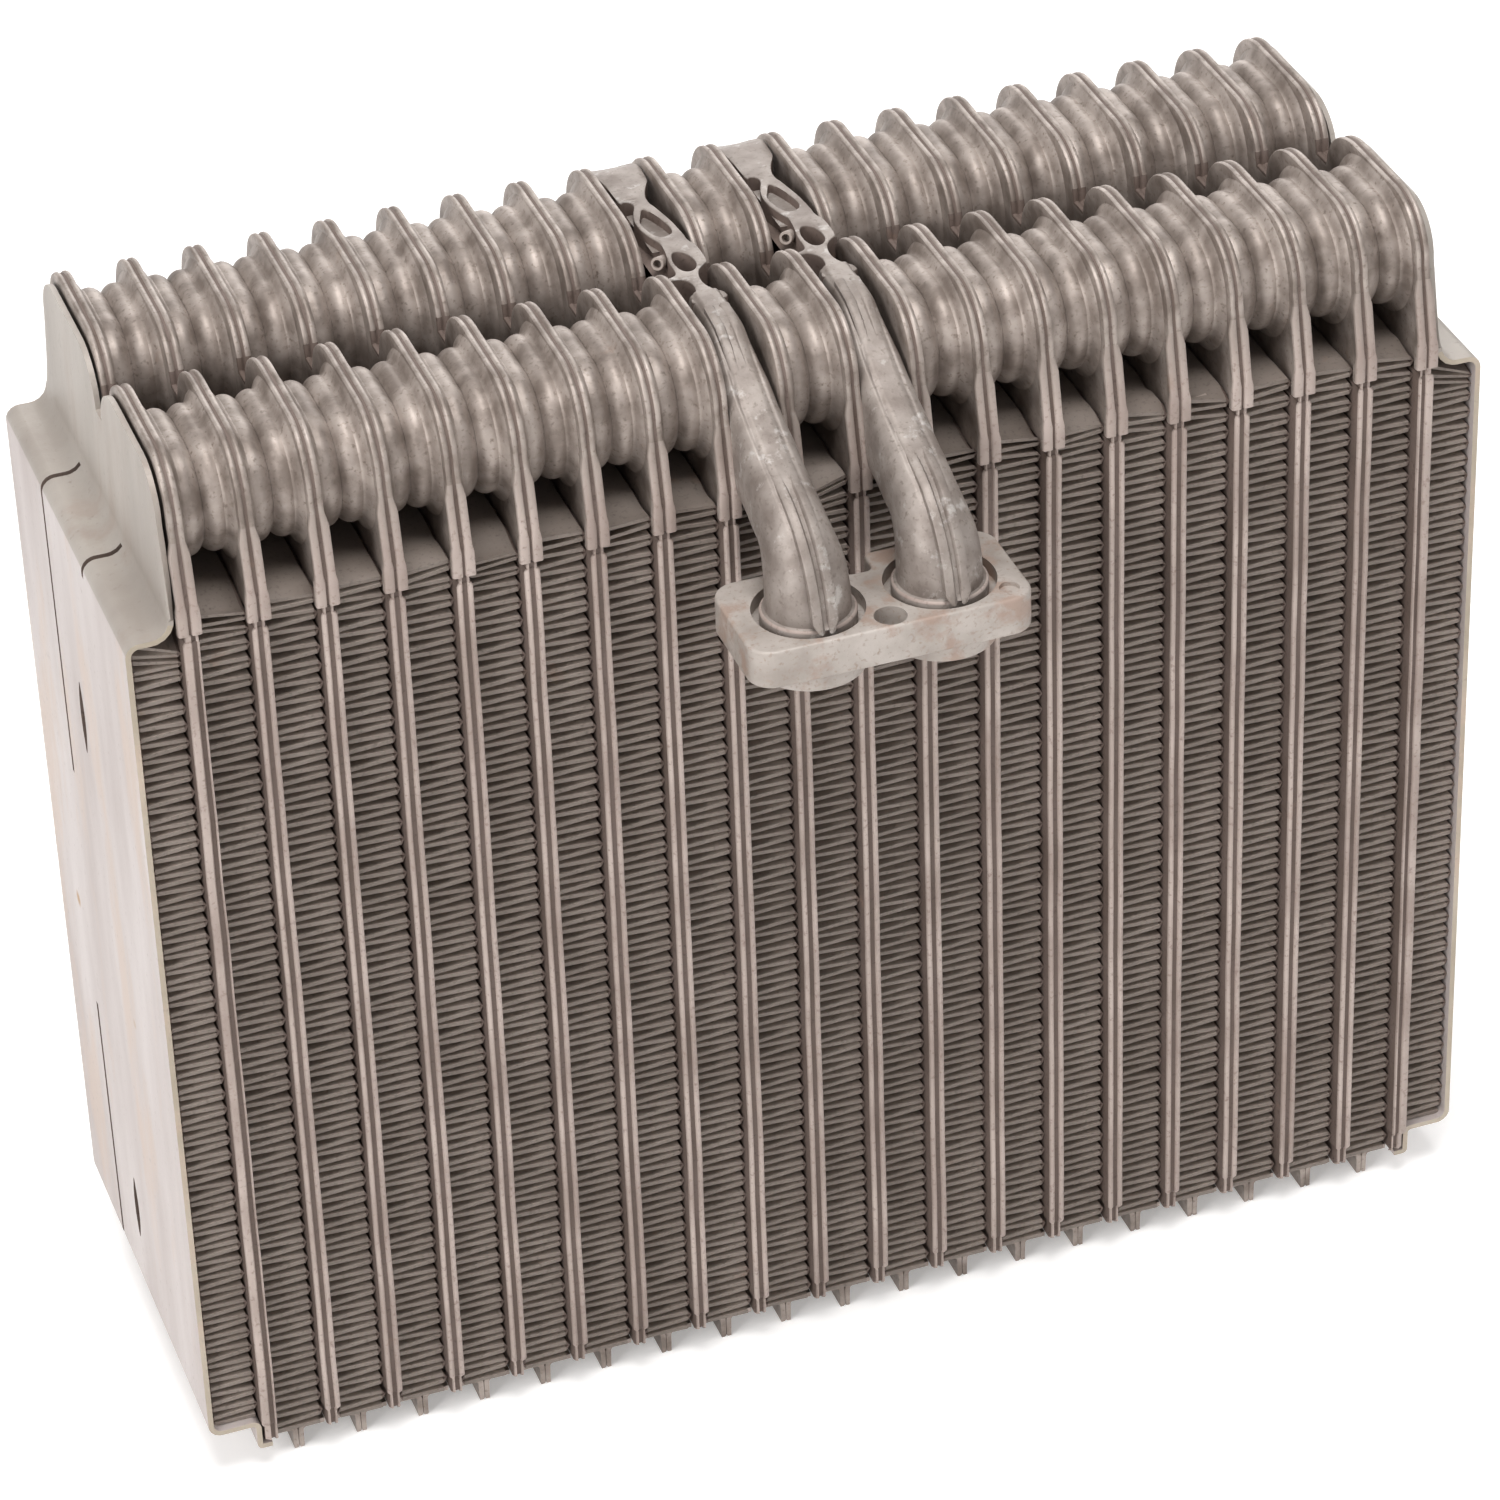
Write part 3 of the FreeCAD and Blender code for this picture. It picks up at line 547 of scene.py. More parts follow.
def bentPath(corners, steps=5):
    path = []
    for index, (x, z, radius) in enumerate(corners):
        here = Vector((x, z))
        if not radius:
            path.append((x, z))
            continue
        toBefore = (Vector(corners[index - 1][:2]) - here).normalized()
        toAfter = (Vector(corners[index + 1][:2]) - here).normalized()
        half = toBefore.angle(toAfter) / 2
        centre = here + (toBefore + toAfter).normalized() * (radius / math.sin(half))
        start = here + toBefore * (radius / math.tan(half))
        end = here + toAfter * (radius / math.tan(half))
        for step in range(steps + 1):
            spoke = (start - centre).lerp(end - centre, step / steps).normalized() * radius
            path.append(tuple(centre + spoke))
    return path


# The plate's upper wall follows the humps of the tanks.
def wallTop(y):
    y = min(y, stack["depth"] - y)
    base, crest, corner = plates["top"] + plates["wallBend"], plates["crest"], plates["corner"]
    setback, front, crestEnd = plates["setback"], plates["front"], plates["crestEnd"]
    if y < front:
        return base + 0.2 + (crest - corner - base) * max(0.0, (y - setback) / (front - setback))
    if y < front + corner:
        return crest - corner + math.sqrt(corner ** 2 - (front + corner - y) ** 2)
    if y < crestEnd:
        return crest
    run = min(1.0, (y - crestEnd) / (plates["valley"] - crestEnd))
    return crest - plates["drop"] * (1 - math.sqrt(1 - run ** 2))


def plateColumns():
    depth, setback = stack["depth"], plates["setback"]
    front, corner, crestEnd = plates["front"], plates["corner"], plates["crestEnd"]
    columns = [setback + (front - setback) * step / 5 for step in range(6)]
    columns += [front + corner * (1 - math.cos(math.radians(90 * step / 10))) for step in range(1, 11)]
    columns += [18.0, 24.0, 28.0]
    columns += [crestEnd + (plates["valley"] - crestEnd) * math.sin(math.radians(90 * step / 9))
                for step in range(10)]
    columns += [depth - y for y in columns] + [depth / 2]
    slits = [y + side * half for y, _, _, half in plates["slits"] for side in (-1, 1)]
    kept = [y for y in columns if min(abs(y - slit) for slit in slits) > 0.25]
    return sorted(kept + slits)


def plateRows():
    wall, outer, leg, hook = [-plates[name] for name in ("wall", "outer", "leg", "hook")]
    top, floor, hookBottom = plates["top"], plates["floor"], plates["hookBottom"]
    corners = [(wall, top + plates["wallBend"], 0), (wall, top, plates["wallBend"]),
               (outer, top, plates["bend"]), (outer, floor, plates["bend"]), (leg, floor, plates["legBend"]),
               (leg, hookBottom, plates["gauge"]), (hook, hookBottom, 0)]
    path = bentPath(corners)
    extra = [z for _, low, high, _ in plates["slits"] for z in (low, high) if z]
    steps = plates["slotRows"]
    for _, low, high, _ in plates["slits"]:
        if low and high:
            extra += [low + (high - low) * step / steps for step in range(1, steps)]
    walls = [(outer, z) for z in extra + [40.0 * step for step in range(1, 5)]]
    start = next(i for i, (x, z) in enumerate(path) if abs(x - outer) < 1e-4)
    return path[:start + 1] + sorted(walls, key=lambda point: -point[1]) + path[start + 1:]


def inSlit(y, x, z):
    for place, low, high, half in plates["slits"]:
        if abs(y - place) < half:
            below = low if low is not None else plates["floor"] - 1
            above = high if high is not None else plates["top"] + 1
            if below < z < above and x < -plates["wall"] - plates["slitStop"]:
                return True
    return False


# The closed slots are pointed at both ends.
def pinched(x, y, z):
    for place, low, high, half in plates["slits"]:
        if low and high and low <= z <= high and abs(y - place) < half + 0.01 and x < -plates["outer"] + 0.01:
            share = max(plates["slotEnd"], math.sin(math.pi * (z - low) / (high - low)) ** 0.7)
            return x, place + (y - place) * share, z
    return x, y, z


# The cut edges show their thickness, and the walls of the slits are painted dark brown, as painted shade
# inside the slits.
def plateFinish(face):
    middle = face.calc_center_median()
    onOuter = middle.x < plates["gauge"] - plates["outer"] and abs(face.normal.x) < 0.5
    if onOuter or abs(face.normal.y) > 0.9 and middle.z < plates["top"] + 2:
        offMiddle = abs(middle.y - stack["depth"] / 2)
        return slitWall if offMiddle < stack["depth"] / 2 - plates["front"] else cutEdge
    # From just under the shelf upwards the sheet is painted greyer, as painted shade.
    return upperSheet if middle.z > plates["greyFrom"] else outerSheet


def makePlate(node, turned):
    columns, rows = plateColumns(), plateRows()
    base, count, wall = rows[0][1], plates["wallRows"], []
    for step in range(count, 0, -1):
        x = plates["wallLean"] * step / count - plates["wall"]
        wall.append([(x, y, base + (wallTop(y) - base) * step / count) for y in columns])
    grid = wall + [[pinched(x, y, z) for y in columns] for x, z in rows]
    bm = bmesh.new()
    verts = [[bm.verts.new(point) for point in row] for row in grid]
    for upper, lower in zip(range(len(grid) - 1), range(1, len(grid))):
        for index in range(len(columns) - 1):
            square = verts[upper][index:index + 2] + verts[lower][index:index + 2][::-1]
            middle = sum((vert.co for vert in square), Vector()) / 4
            if not inSlit((columns[index] + columns[index + 1]) / 2, middle.x, middle.z):
                bm.faces.new(square)
    bmesh.ops.recalc_face_normals(bm, faces=bm.faces)
    if bm.faces[0].normal.x > 0:
        bmesh.ops.reverse_faces(bm, faces=bm.faces)
    bmesh.ops.solidify(bm, geom=bm.faces, thickness=plates["gauge"])
    for face in bm.faces:
        face.material_index = plateFinish(face)
    bmesh.ops.translate(bm, vec=(0, -stack["depth"] / 2, 0), verts=bm.verts)
    if turned:
        bmesh.ops.rotate(bm, cent=(0, 0, 0), matrix=Matrix.Rotation(math.pi, 3, "Z"), verts=bm.verts)
    bmesh.ops.translate(bm, vec=(0, stack["depth"] / 2 + frontEdge, 0), verts=bm.verts)
    finishes = (plateMaterial, upperPlateMaterial, fluxAndShadeMaterial, plateEdgeMaterial)
    piece = makePiece(node.replace("_", ""), bm, finishes, [node], plates["crease"])
    bevel = piece.modifiers.new("softEdges", "BEVEL")
    bevel.width = plates["edge"] * mm
    bevel.segments = 2
    bevel.limit_method = "ANGLE"
    bevel.angle_limit = math.radians(plates["edgeAngle"])
    return piece


print("scene: side plates")
makePlate("side_plate_left", False)
makePlate("side_plate_right", True)


# Ducts

# Numbers of the materials on a duct.
ductShell, cellShade, ductRim = 0, 1, 2
# Tops and half widths are pairs along the run. A groove has its place, width and depth.
ducts = {"axis": -21.2, "bend": 14.0, "slope": 18.0, "start": 176.6, "pipe": 7.6, "neckHalf": 5.6,
         "neckReach": 6.7, "sides": 96, "turnSteps": 14, "pipeEnd": 165.8, "bore": 6.2, "boreTop": 179.8,
         "beadBottom": 173.9, "bead": 8.45, "beadHeight": 3.0, "beadTop": 0.4, "dents": 0.22, "dentSize": 7.0,
         "tops": ((-11.5, 196.9), (-6.0, 198.9), (-1.0, 201.2), (4.0, 203.8), (8.0, 206.3), (12.0, 209.5),
                  (16.0, 211.9), (20.0, 212.8), (27.4, 213.0)),
         "halves": ((-11.5, 5.6), (-1.0, 5.0), (8.0, 4.5), (14.0, 3.7), (20.0, 3.35), (27.4, 3.35)),
         "runStep": 1.4, "levelRun": 25.0, "grooves": ((-2.4, 0.5, 0.3), (2.5, 0.5, 0.25)),
         "rib": 1.8, "ribHalf": 2.4, "pipeRibHalf": 1.5, "ribSeam": 0.45, "ribReach": 2.8, "runRib": 0.35,
         "ribEnd": 22.0, "cellTop": 212.2, "cellBottom": 197.0, "rear": 81.1, "base": 186.2, "cornerY": 73.7,
         "cornerZ": 202.75, "cornerRadius": 10.4, "edge": 0.22, "shallow": 210.4, "deep": 205.5,
         "recess": 208.4, "baseTop": 200.6, "boss": 5.0, "bossReach": 4.75, "bossSides": 24,
         "peg": (-2.9, 43.4), "pegRadius": 1.25, "pegHole": 0.75, "pegLength": 4.2, "pegSides": 20,
         "crease": 42}


def ductRing(turn, offset=0.0):
    middle = ducts["axis"] + ducts["bend"]
    reach, angle = ducts["bend"] + offset, math.radians(turn)
    return middle - reach * math.cos(angle), ducts["start"] + reach * math.sin(angle)


# A rounded box across the duct. Two pressed lines run along its upper side.
def ductSection(y, z, turn, half, reach, roundness, lines=0.0):
    ring = []
    tilt = math.radians(turn)
    for side in range(ducts["sides"]):
        angle = 2 * math.pi * side / ducts["sides"]
        across, along = math.cos(angle), math.sin(angle)
        across = math.copysign(abs(across) ** (2 / roundness), across) * half
        along = math.copysign(abs(along) ** (2 / roundness), along) * reach
        if along < 0:
            for place, width, depth in ducts["grooves"]:
                along += lines * depth * max(0.0, 1 - abs(across - place) / width)
        ring.append((across, y + along * math.cos(tilt), z - along * math.sin(tilt)))
    return ring


def easing(share):
    return share * share * (3 - 2 * share)


def between(points, y):
    for (lowY, low), (highY, high) in zip(points, points[1:]):
        if y <= highY:
            return low + (high - low) * max(0.0, (y - lowY) / (highY - lowY))
    return points[-1][1]


def dent(point):
    bump = noise.noise(Vector(point) / ducts["dentSize"]) * ducts["dents"]
    return point[0] * (1 + bump / 5), point[1] + bump * 0.5, point[2] + bump


# The pipe, its bead and bore run straight into the shell, which narrows while it turns and climbs.
def addDuctShell(bm):
    axis, pipe, bead = ducts["axis"], ducts["pipe"], ducts["bead"]
    bottom, beadBottom = ducts["pipeEnd"], ducts["beadBottom"]
    beadTop = beadBottom + ducts["beadHeight"]
    levels = [(ducts["boreTop"], ducts["bore"]), (bottom + 0.4, ducts["bore"]), (bottom, ducts["bore"] + 0.3),
              (bottom, pipe - 0.3), (bottom + 0.3, pipe), (beadBottom, pipe), (beadBottom + 0.05, bead - 0.3),
              (beadBottom + 0.3, bead), (beadTop - 0.4, bead), (beadTop - 0.1, bead - 0.2),
              (beadTop, bead - 0.45), (beadTop + 0.15, pipe - 0.1)]
    rings = [ductSection(axis, z, 0.0, radius, radius, 2.0) for z, radius in levels]
    turnEnd = 90 - ducts["slope"]
    start = 1 if beadTop + 0.15 > ducts["start"] else 0
    for step in range(start, ducts["turnSteps"] + 1):
        share = step / ducts["turnSteps"]
        y, z = ductRing(turnEnd * share)
        half = pipe + (ducts["neckHalf"] - pipe) * easing(share)
        reach = pipe + (ducts["neckReach"] - pipe) * easing(share)
        ring = ductSection(y, z, turnEnd * share, half, reach, 2.0 + share, share)
        rings.append([dent(point) for point in ring])
    startY, startZ = ductRing(turnEnd)
    slopeRise = math.tan(math.radians(ducts["slope"]))
    y = startY
    while y < ducts["tops"][-1][0] - 1:
        y += ducts["runStep"]
        z = startZ + (y - startY) * slopeRise
        share = (y - startY) / ducts["levelRun"]
        turn = 90 - ducts["slope"] * max(0.0, 1 - share)
        half, reach = between(ducts["halves"], y), between(ducts["tops"], y) - z
        ring = ductSection(y, z, turn, half, reach, 3.0 + 2.5 * easing(min(1.0, share)), 1.0)
        rings.append([dent(point) for point in ring])
    addLoft(bm, rings, capStart=True, capEnd=True)


# Half of the strip pair that closes the duct: a seam, a rounded strip and the web behind it.
def ribSection(half):
    seam = ducts["ribSeam"]
    return [(0.0, 0.9), (seam - 0.08, 0.9), (seam, 0.35), (seam + 0.35, 0.0), (half - 0.6, 0.0),
            (half - 0.12, 0.3), (half, 0.8), (half, 1.4), (1.1, ducts["ribReach"])]


# The rib follows the duct's side view all the way round: over the turn and the run, down and back underneath.
def addSeamRib(bm):
    turnEnd, slopeRise = 90 - ducts["slope"], math.tan(math.radians(ducts["slope"]))
    pipe, rib, runRib = ducts["pipe"], ducts["rib"], ducts["runRib"]
    rear, base, ribEnd = ducts["rear"], ducts["base"], ducts["ribEnd"]
    outer, inner = [], []
    for step in range(ducts["turnSteps"] + 1):
        share = step / ducts["turnSteps"]
        shell = pipe + (ducts["neckReach"] - pipe) * easing(share)
        outer.append(ductRing(turnEnd * share, shell + rib + (runRib - rib) * share))
        inner.append(ductRing(turnEnd * share, -shell - rib))
    bottomStart = inner[-1][0] + (base - inner[-1][1]) / slopeRise
    places = [y for y, _ in ducts["tops"][1:-2]] + [ribEnd]
    run = [(y, between(ducts["tops"], y) + runRib) for y in places]
    under = ducts["deep"] - 1.0
    path = outer + run + [(ribEnd + 2.0, under), (rear - 1.0, under - 0.2), (rear, under - 1.4),
                          (rear, base + 1.0), (rear - 1.0, base), (bottomStart, base)] + inner[::-1]
    rings = []
    for place, inward in zip(path, inwardNormals(path, closed=True)):
        half = ducts["ribHalf"] if place[1] > ducts["start"] else ducts["pipeRibHalf"]
        rings.append(mirroredRing(place, inward, ribSection(half)))
    rows = addLoft(bm, rings + [rings[0]], closed=False)
    bm.faces.new([row[0] for row in rows[:-1]])
    bm.faces.new([row[-1] for row in rows[-2::-1]])


# Plan of the sheets over the rear tank, from above: the outer line first, then the two open cells.
cellPlan = {
    "left": ((-3.3, 25.0), (-2.9, 27.0), (-1.6, 28.2), (-0.9, 30.2), (-0.9, 32.2), (-1.7, 33.8), (-2.9, 34.5),
             (-4.4, 34.3), (-4.4, 35.3), (-2.8, 35.7), (-2.2, 37.0), (-2.3, 40.5), (-1.7, 43.5), (-1.4, 46.5),
             (-1.4, 48.2), (-2.7, 51.6), (-3.3, 56.2), (-2.4, 59.8), (-1.2, 62.4), (-1.4, 64.0), (-2.4, 64.8),
             (-3.3, 64.0), (-3.5, 66.0), (-3.6, 72.5), (-4.4, 75.5), (-4.4, 80.6)),
    "right": ((4.4, 80.6), (4.4, 71.5), (3.6, 69.8), (2.1, 66.6), (1.5, 63.6), (2.2, 59.7), (3.1, 54.7),
              (3.4, 50.0), (3.6, 46.6), (4.4, 45.4), (4.4, 38.6), (3.2, 37.9), (1.8, 36.4), (1.0, 34.0),
              (1.0, 31.0), (2.2, 28.6), (3.5, 27.4), (3.5, 25.0)),
    "middle": ((0.0, 36.2), (1.5, 36.9), (2.4, 39.0), (2.0, 42.2), (0.6, 44.1), (-0.8, 43.6), (-1.6, 40.5),
               (-1.2, 37.3)),
    "leaf": ((-0.2, 61.4), (-1.6, 58.2), (-2.4, 56.0), (-1.9, 52.4), (-0.7, 49.7), (1.6, 50.2), (2.3, 52.0),
             (1.9, 55.2), (0.8, 59.0))}


# Two rounds of corner cutting round a coarse outline, as the press did.
def softened(corners, rounds=2):
    for _ in range(rounds):
        cut = []
        for (x, y), (nextX, nextY) in zip(corners, corners[1:] + corners[:1]):
            cut.append((x * 0.75 + nextX * 0.25, y * 0.75 + nextY * 0.25))
            cut.append((x * 0.25 + nextX * 0.75, y * 0.25 + nextY * 0.75))
        corners = cut
    return corners


def cellHeight(y):
    top = ducts["cellTop"]
    if y > ducts["cornerY"]:
        drop = math.sqrt(ducts["cornerRadius"] ** 2 - (y - ducts["cornerY"]) ** 2)
        top = min(top, ducts["cornerZ"] + drop)
    return top


# Over the rear tank the duct's sheets stand as thin walls round open cells and close to a panel at the end.
def addCellSheets(bm):
    sheets = bmesh.new()
    edges = []
    for loop in (cellPlan["left"] + cellPlan["right"], cellPlan["middle"], cellPlan["leaf"]):
        verts = [sheets.verts.new((x, y, cellHeight(y))) for x, y in softened(loop)]
        edges += [sheets.edges.new(pair) for pair in zip(verts, verts[1:] + verts[:1])]
    bmesh.ops.triangle_fill(sheets, use_beauty=True, use_dissolve=False, edges=edges, normal=(0, 0, 1))
    rims = [item for item in sheets.edges if item.is_boundary]
    walls = bmesh.ops.extrude_edge_only(sheets, edges=rims)
    for vert in [item for item in walls["geom"] if isinstance(item, bmesh.types.BMVert)]:
        vert.co.z = ducts["cellBottom"]
    bmesh.ops.bevel(sheets, geom=rims, offset=ducts["edge"], segments=2, profile=0.5, affect="EDGES")
    # The upright walls of the open cells are painted dark brown, as painted shade in the cells.
    for face in sheets.faces:
        upright = abs(face.normal.z) < 0.1 and face.calc_center_median().y < ducts["cornerY"]
        face.material_index = cellShade if upright else ductShell
    mesh = bpy.data.meshes.new("cellSheets")
    sheets.to_mesh(mesh)
    sheets.free()
    bm.from_mesh(mesh)
    bpy.data.meshes.remove(mesh)
    # The deeper floors are painted dark brown too, as painted shade; the shallow one keeps the duct's sheet.
    floors = ((-2.8, 2.6, 48.0, 62.5, ducts["shallow"]), (-1.9, 2.4, 36.0, 44.5, ducts["deep"]),
              (-4.4, -1.0, 34.5, 65.0, ducts["recess"]), (1.0, 4.4, 45.5, 75.0, ducts["deep"]))
    for left, right, front, rear, z in floors:
        corners = ((left, front, z), (right, front, z), (right, rear, z), (left, rear, z))
        floor = bm.faces.new([bm.verts.new(point) for point in corners])
        floor.material_index = ductShell if z == ducts["shallow"] else cellShade


# A short bent tail of tube leans out beside the cells.
def addPeg(bm):
    x, y = ducts["peg"]
    lean = Vector((-0.55, -0.75, 0.35)).normalized()
    side = lean.cross(Vector((0, 0, 1))).normalized()
    up = side.cross(lean)
    foot = Vector((x + 1.4, y + 2.2, ducts["recess"] + 1.4))
    length, radius, hole = ducts["pegLength"], ducts["pegRadius"], ducts["pegHole"]
    rings = []
    for along, size in ((0.0, radius * 0.9), (length - 0.15, radius), (length, radius - 0.12), (length, hole),
                        (length - 2.0, hole * 0.9)):
        turns = [2 * math.pi * i / ducts["pegSides"] for i in range(ducts["pegSides"])]
        centre = foot + lean * along
        rings.append([tuple(centre + side * (size * math.cos(turn)) + up * (size * math.sin(turn)))
                      for turn in turns])
    addLoft(bm, rings, capStart=True, capEnd=True)


# Round bosses in place of the missing cups seat on the flanges at both sides of the duct.
def addBosses(bm):
    reach, boss = ducts["bossReach"], ducts["boss"]
    levels = ((-reach, boss - 0.4), (-reach + 0.4, boss), (reach - 0.4, boss), (reach, boss - 0.4))
    for y in (cups["middle"], stack["depth"] - cups["middle"]):
        rings = []
        for x, radius in levels:
            outline = arc(y, ducts["baseTop"] - boss, radius, radius, 0, 360, ducts["bossSides"])
            rings.append([(x, py, pz) for py, pz in outline[:-1]])
        addLoft(bm, rings, capStart=True, capEnd=True)


def makeDuct(node, gap):
    bm = bmesh.new()
    addDuctShell(bm)
    addSeamRib(bm)
    addCellSheets(bm)
    pegStart = len(bm.faces)
    addPeg(bm)
    bm.faces.ensure_lookup_table()
    for face in bm.faces[pegStart:]:
        face.material_index = ductRim
    addBosses(bm)
    # The top of the pipe's bead is painted pale.
    beadTop = ducts["beadBottom"] + ducts["beadHeight"]
    for face in bm.faces:
        middle = face.calc_center_median()
        offAxis = math.hypot(middle.x, middle.y - ducts["axis"])
        onBead = offAxis > ducts["pipe"] + 0.2 and middle.y < ducts["bend"] / -2
        if onBead and beadTop - ducts["beadTop"] < middle.z < beadTop + 0.1:
            face.material_index = ductRim
    bmesh.ops.translate(bm, vec=(tubeX(gap) + pitch / 2, frontEdge, 0), verts=bm.verts)
    finishes = (ductMaterial, fluxAndShadeMaterial, edgeMaterial)
    return makePiece(node.replace("_", ""), bm, finishes, [node], ducts["crease"])


print("scene: ducts")
for node, gap in zip(("duct_left", "duct_right"), stack["ductGaps"]):
    makeDuct(node, gap)


# Connection block

block = {"half": 25.75, "front": -32.5, "back": -8.5, "top": 176.6, "height": 7.3, "corner": 4.5,
         "recessHalf": 2.5, "recessDepth": 5.5, "recessCorner": 1.4, "seat": 9.9, "seatDepth": 2.7,
         "bore": 7.7, "stud": 2.9, "studOffset": 7.8, "studSteps": 40, "dimple": (21.9, -28.5),
         "dimpleRadius": 1.8, "dimpleDepth": 0.8, "dimpleSteps": 24, "edge": 0.55, "steps": 64, "past": 5.0,
         "collar": 10.0, "collarBottom": 165.8, "crease": 35}


def prism(outline, low, high):
    bm = bmesh.new()
    addLoft(bm, [[(x, y, z) for x, y in outline] for z in (low, high)], capStart=True, capEnd=True)
    bmesh.ops.recalc_face_normals(bm, faces=bm.faces)
    return bm


def circle(x, y, radius, steps):
    return [(x + radius * math.cos(2 * math.pi * i / steps), y + radius * math.sin(2 * math.pi * i / steps))
            for i in range(steps)]


# The slab gets its soft edges before the holes are cut, so that their rims stay sharp.
def makeBlock():
    half, front, back = block["half"], block["front"], block["back"]
    corner, recess, small = block["corner"], block["recessHalf"], block["recessCorner"]
    deep = back - block["recessDepth"]
    corners = [(half, front, corner), (half, back, corner), (recess, back, small), (recess, deep, small),
               (-recess, deep, small), (-recess, back, small), (-half, back, corner), (-half, front, corner)]
    corners = [((half + corners[0][0]) / 2 - half, front, 0)] + corners
    outline = bentPath(corners + [corners[0]], 8)[:-1]
    top, bottom, axis = block["top"], block["top"] - block["height"], ducts["axis"]
    slab = prism(outline, bottom, top)
    rimEdges = [item for item in slab.edges if abs(item.verts[0].co.z - item.verts[1].co.z) < 1e-6]
    bmesh.ops.bevel(slab, geom=rimEdges, offset=block["edge"], segments=3, profile=0.5, affect="EDGES")
    slabObject = meshObject("blockSlab", slab)
    above, through = top + block["past"], bottom - block["past"]
    cuts = []
    for x in (-pitch, pitch):
        cuts.append(prism(circle(x, axis, block["seat"], block["steps"]), top - block["seatDepth"], above))
        cuts.append(prism(circle(x, axis, block["bore"], block["steps"]), through, above))
    stud = circle(0, axis - block["studOffset"], block["stud"], block["studSteps"])
    cuts.append(prism(stud, through, above))
    dimple = circle(*block["dimple"], block["dimpleRadius"], block["dimpleSteps"])
    cuts.append(prism(dimple, top - block["dimpleDepth"], above))
    helpers = [meshObject("blockCut%d" % i, cut) for i, cut in enumerate(cuts)]
    for helper in helpers:
        cutting = slabObject.modifiers.new("cut", "BOOLEAN")
        cutting.operation = "DIFFERENCE"
        cutting.solver = "EXACT"
        cutting.object = helper
    depsgraph = bpy.context.evaluated_depsgraph_get()
    bm = bmesh.new()
    bm.from_mesh(slabObject.evaluated_get(depsgraph).to_mesh())
    for helper in helpers + [slabObject]:
        bpy.data.objects.remove(helper)
    # A round collar stands out under the slab round each bore.
    collar, inside, under = block["collar"], block["bore"] + 0.05, block["collarBottom"]
    for x in (-pitch, pitch):
        levels = ((inside, bottom + 0.3), (inside, under), (collar - 0.5, under), (collar - 0.1, under + 0.2),
                  (collar, under + 0.6), (collar, bottom + 0.3))
        rings = [[(px, py, z) for px, py in circle(x, axis, radius, block["steps"])] for radius, z in levels]
        addLoft(bm, rings + rings[:1])
    bmesh.ops.translate(bm, vec=(0, frontEdge, 0), verts=bm.verts)
    return makePiece("connectionBlock", bm, (blockMaterial,), ["connection_block"],
                     block["crease"])


print("scene: connection block")
makeBlock()


# Floor, light and camera

# The floor is white paper, matte and lit a little from within, so it stays even behind the core.
# Places of the lamps are in metres, and those of the camera in millimetres.
stage = {"floorSize": 6.0, "floorColour": "#f4f3f2", "floorGlow": 0.3, "worldStrength": 0.36,
         "aim": (0, 0, 0.1)}
lamps = {
    "key": {"place": (-1.5, -0.8, 1.05), "size": 0.8, "power": 18.0},
    "top": {"place": (-0.1, -0.3, 1.7), "size": 0.8, "power": 21.0},
    "front": {"place": (0.2, -1.6, 0.45), "size": 1.1, "power": 3.0},
    "back": {"place": (0.6, 1.5, 0.8), "size": 1.2, "power": 13.0},
}
camera = {"place": (-282.3, -823.05, 703.1), "azimuth": 19.81, "elevation": 32.62, "roll": -1.51,
          "focal": 5732.1, "centre": (855.28, 597.29), "image": 1500.0, "sensor": 36.0}


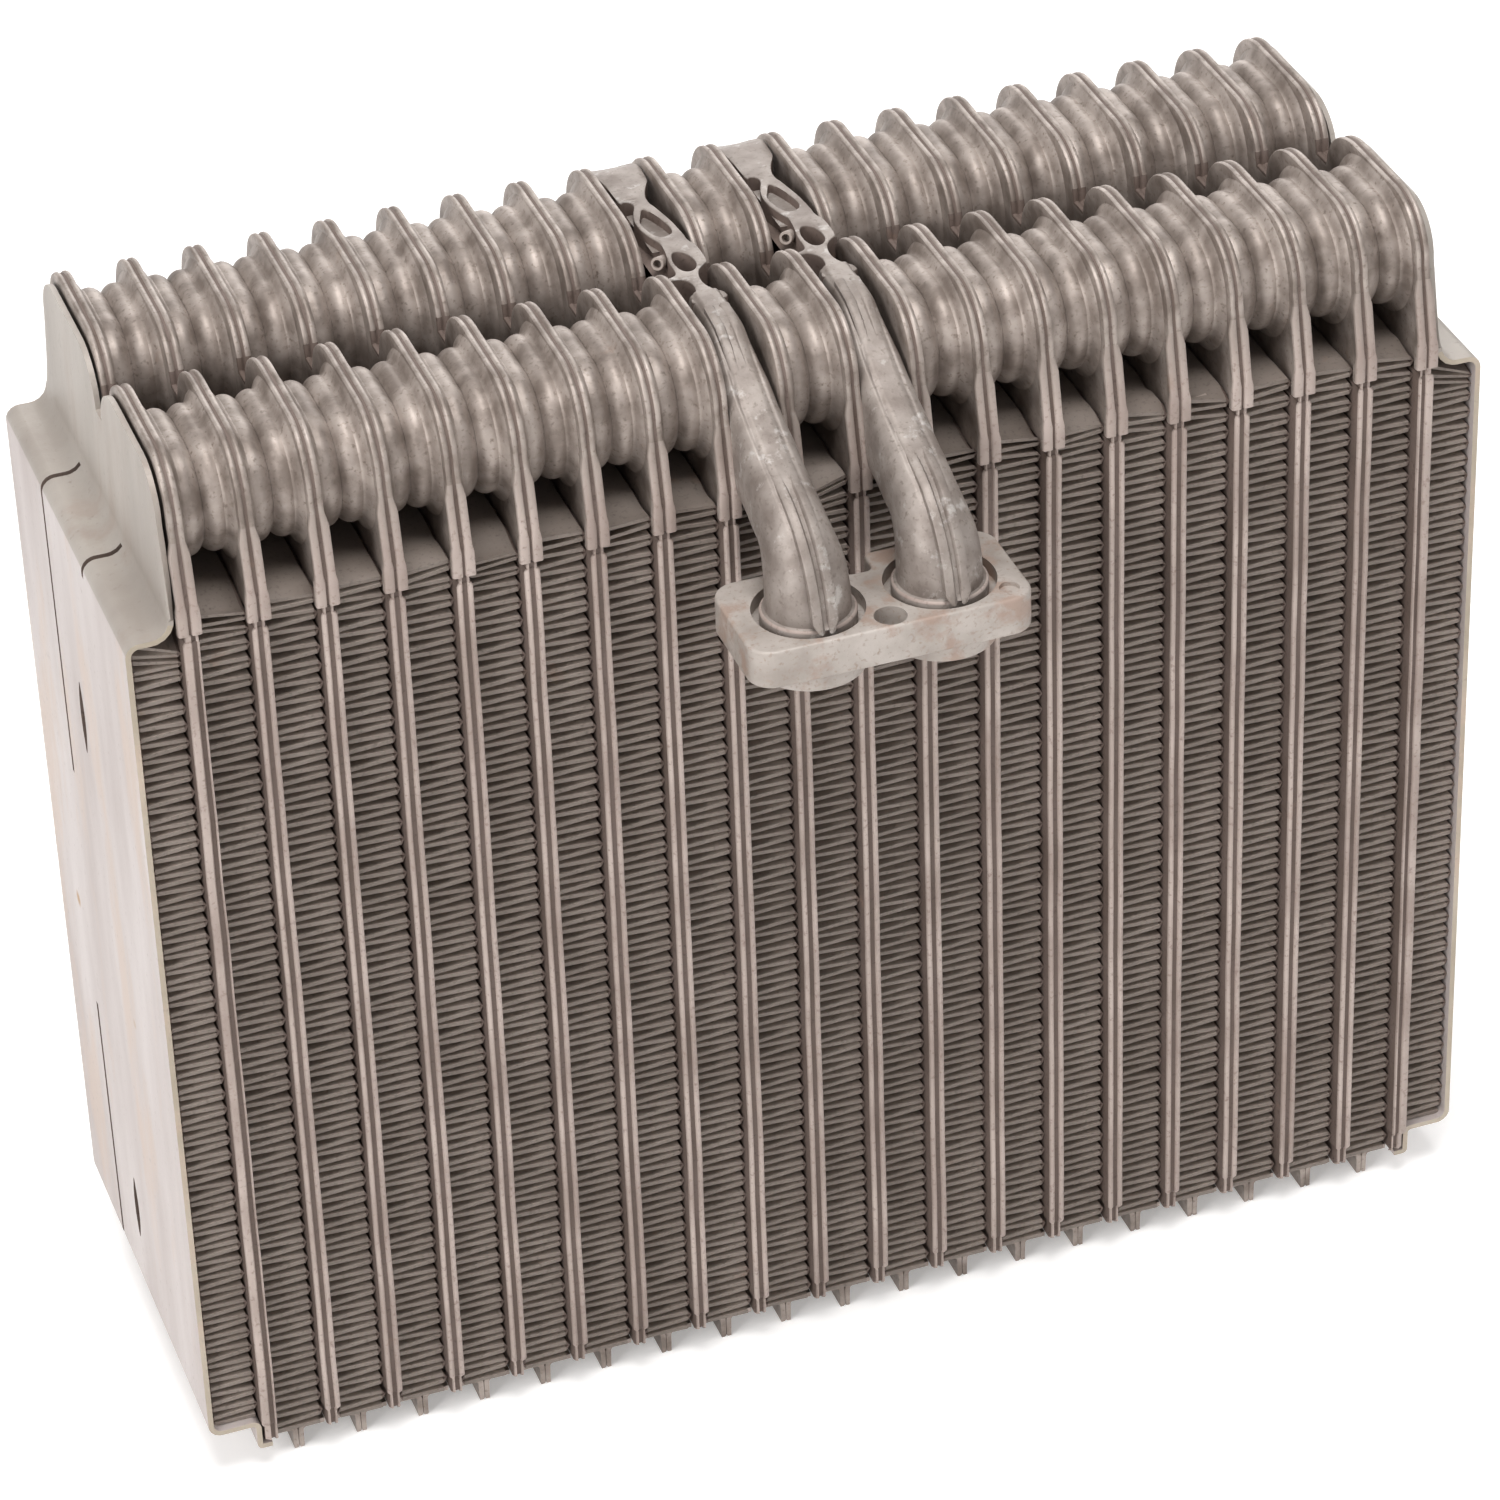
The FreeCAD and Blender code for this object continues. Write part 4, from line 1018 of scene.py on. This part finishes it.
def addFloor():
    mesh = bpy.data.meshes.new("floor")
    half = stage["floorSize"] / 2
    corners = [(-half, -half, 0), (half, -half, 0), (half, half, 0), (-half, half, 0)]
    mesh.from_pydata(corners, [], [(0, 1, 2, 3)])
    floor = newObject("floor", mesh)
    material, tree, shader = newMaterial("floorPaper", 0.9, 0.0)
    shader.inputs["Base Color"].default_value = linear(stage["floorColour"])
    shader.inputs["Emission Color"].default_value = linear(stage["floorColour"])
    rays = addNode(tree, "ShaderNodeLightPath")
    mirrored = addNode(tree, "ShaderNodeMath", {"operation": "MAXIMUM"},
                       {0: rays.outputs["Is Camera Ray"], 1: rays.outputs["Is Glossy Ray"]})
    seen = addNode(tree, "ShaderNodeMath", {"operation": "MAXIMUM"},
                   {0: mirrored.outputs[0], 1: rays.outputs["Is Transmission Ray"]})
    glow = addNode(tree, "ShaderNodeMath", {"operation": "MULTIPLY", 1: stage["floorGlow"]},
                   {0: seen.outputs[0]})
    tree.links.new(glow.outputs[0], shader.inputs["Emission Strength"])
    floor.data.materials.append(material)


def addLamp(name, place, size, power):
    data = bpy.data.lights.new(name, "AREA")
    data.size = size
    data.energy = power
    lamp = newObject(name, data)
    lamp.location = place
    lamp.rotation_euler = (Vector(stage["aim"]) - Vector(place)).to_track_quat("-Z", "Y").to_euler()


def addWorld():
    world = bpy.data.worlds.new("studio")
    bpy.context.scene.world = world
    world.use_nodes = True
    world.node_tree.nodes["Background"].inputs["Color"].default_value = (1, 1, 1, 1)
    world.node_tree.nodes["Background"].inputs["Strength"].default_value = stage["worldStrength"]


def addCamera():
    data = bpy.data.cameras.new("camera")
    data.sensor_width = camera["sensor"]
    data.lens = camera["focal"] / camera["image"] * camera["sensor"]
    data.shift_x = (camera["image"] / 2 - camera["centre"][0]) / camera["image"]
    data.shift_y = (camera["centre"][1] - camera["image"] / 2) / camera["image"]
    data.clip_end = 20.0
    azimuth, elevation = math.radians(camera["azimuth"]), math.radians(camera["elevation"])
    back = Vector((-math.sin(azimuth) * math.cos(elevation), -math.cos(azimuth) * math.cos(elevation),
                   math.sin(elevation)))
    right = (-back).cross(Vector((0, 0, 1))).normalized()
    up = right.cross(-back)
    turn = Matrix((right, up, back)).transposed().to_4x4()
    roll = Matrix.Rotation(math.radians(camera["roll"]), 4, "Z")
    camObject = newObject("camera", data)
    camObject.matrix_world = Matrix.Translation(Vector(camera["place"]) * mm) @ turn @ roll
    bpy.context.scene.camera = camObject


print("scene: floor, light and camera")
addFloor()
for name, lamp in lamps.items():
    addLamp(name, lamp["place"], lamp["size"], lamp["power"])
addWorld()
addCamera()
bpy.context.scene.view_settings.view_transform = "Standard"
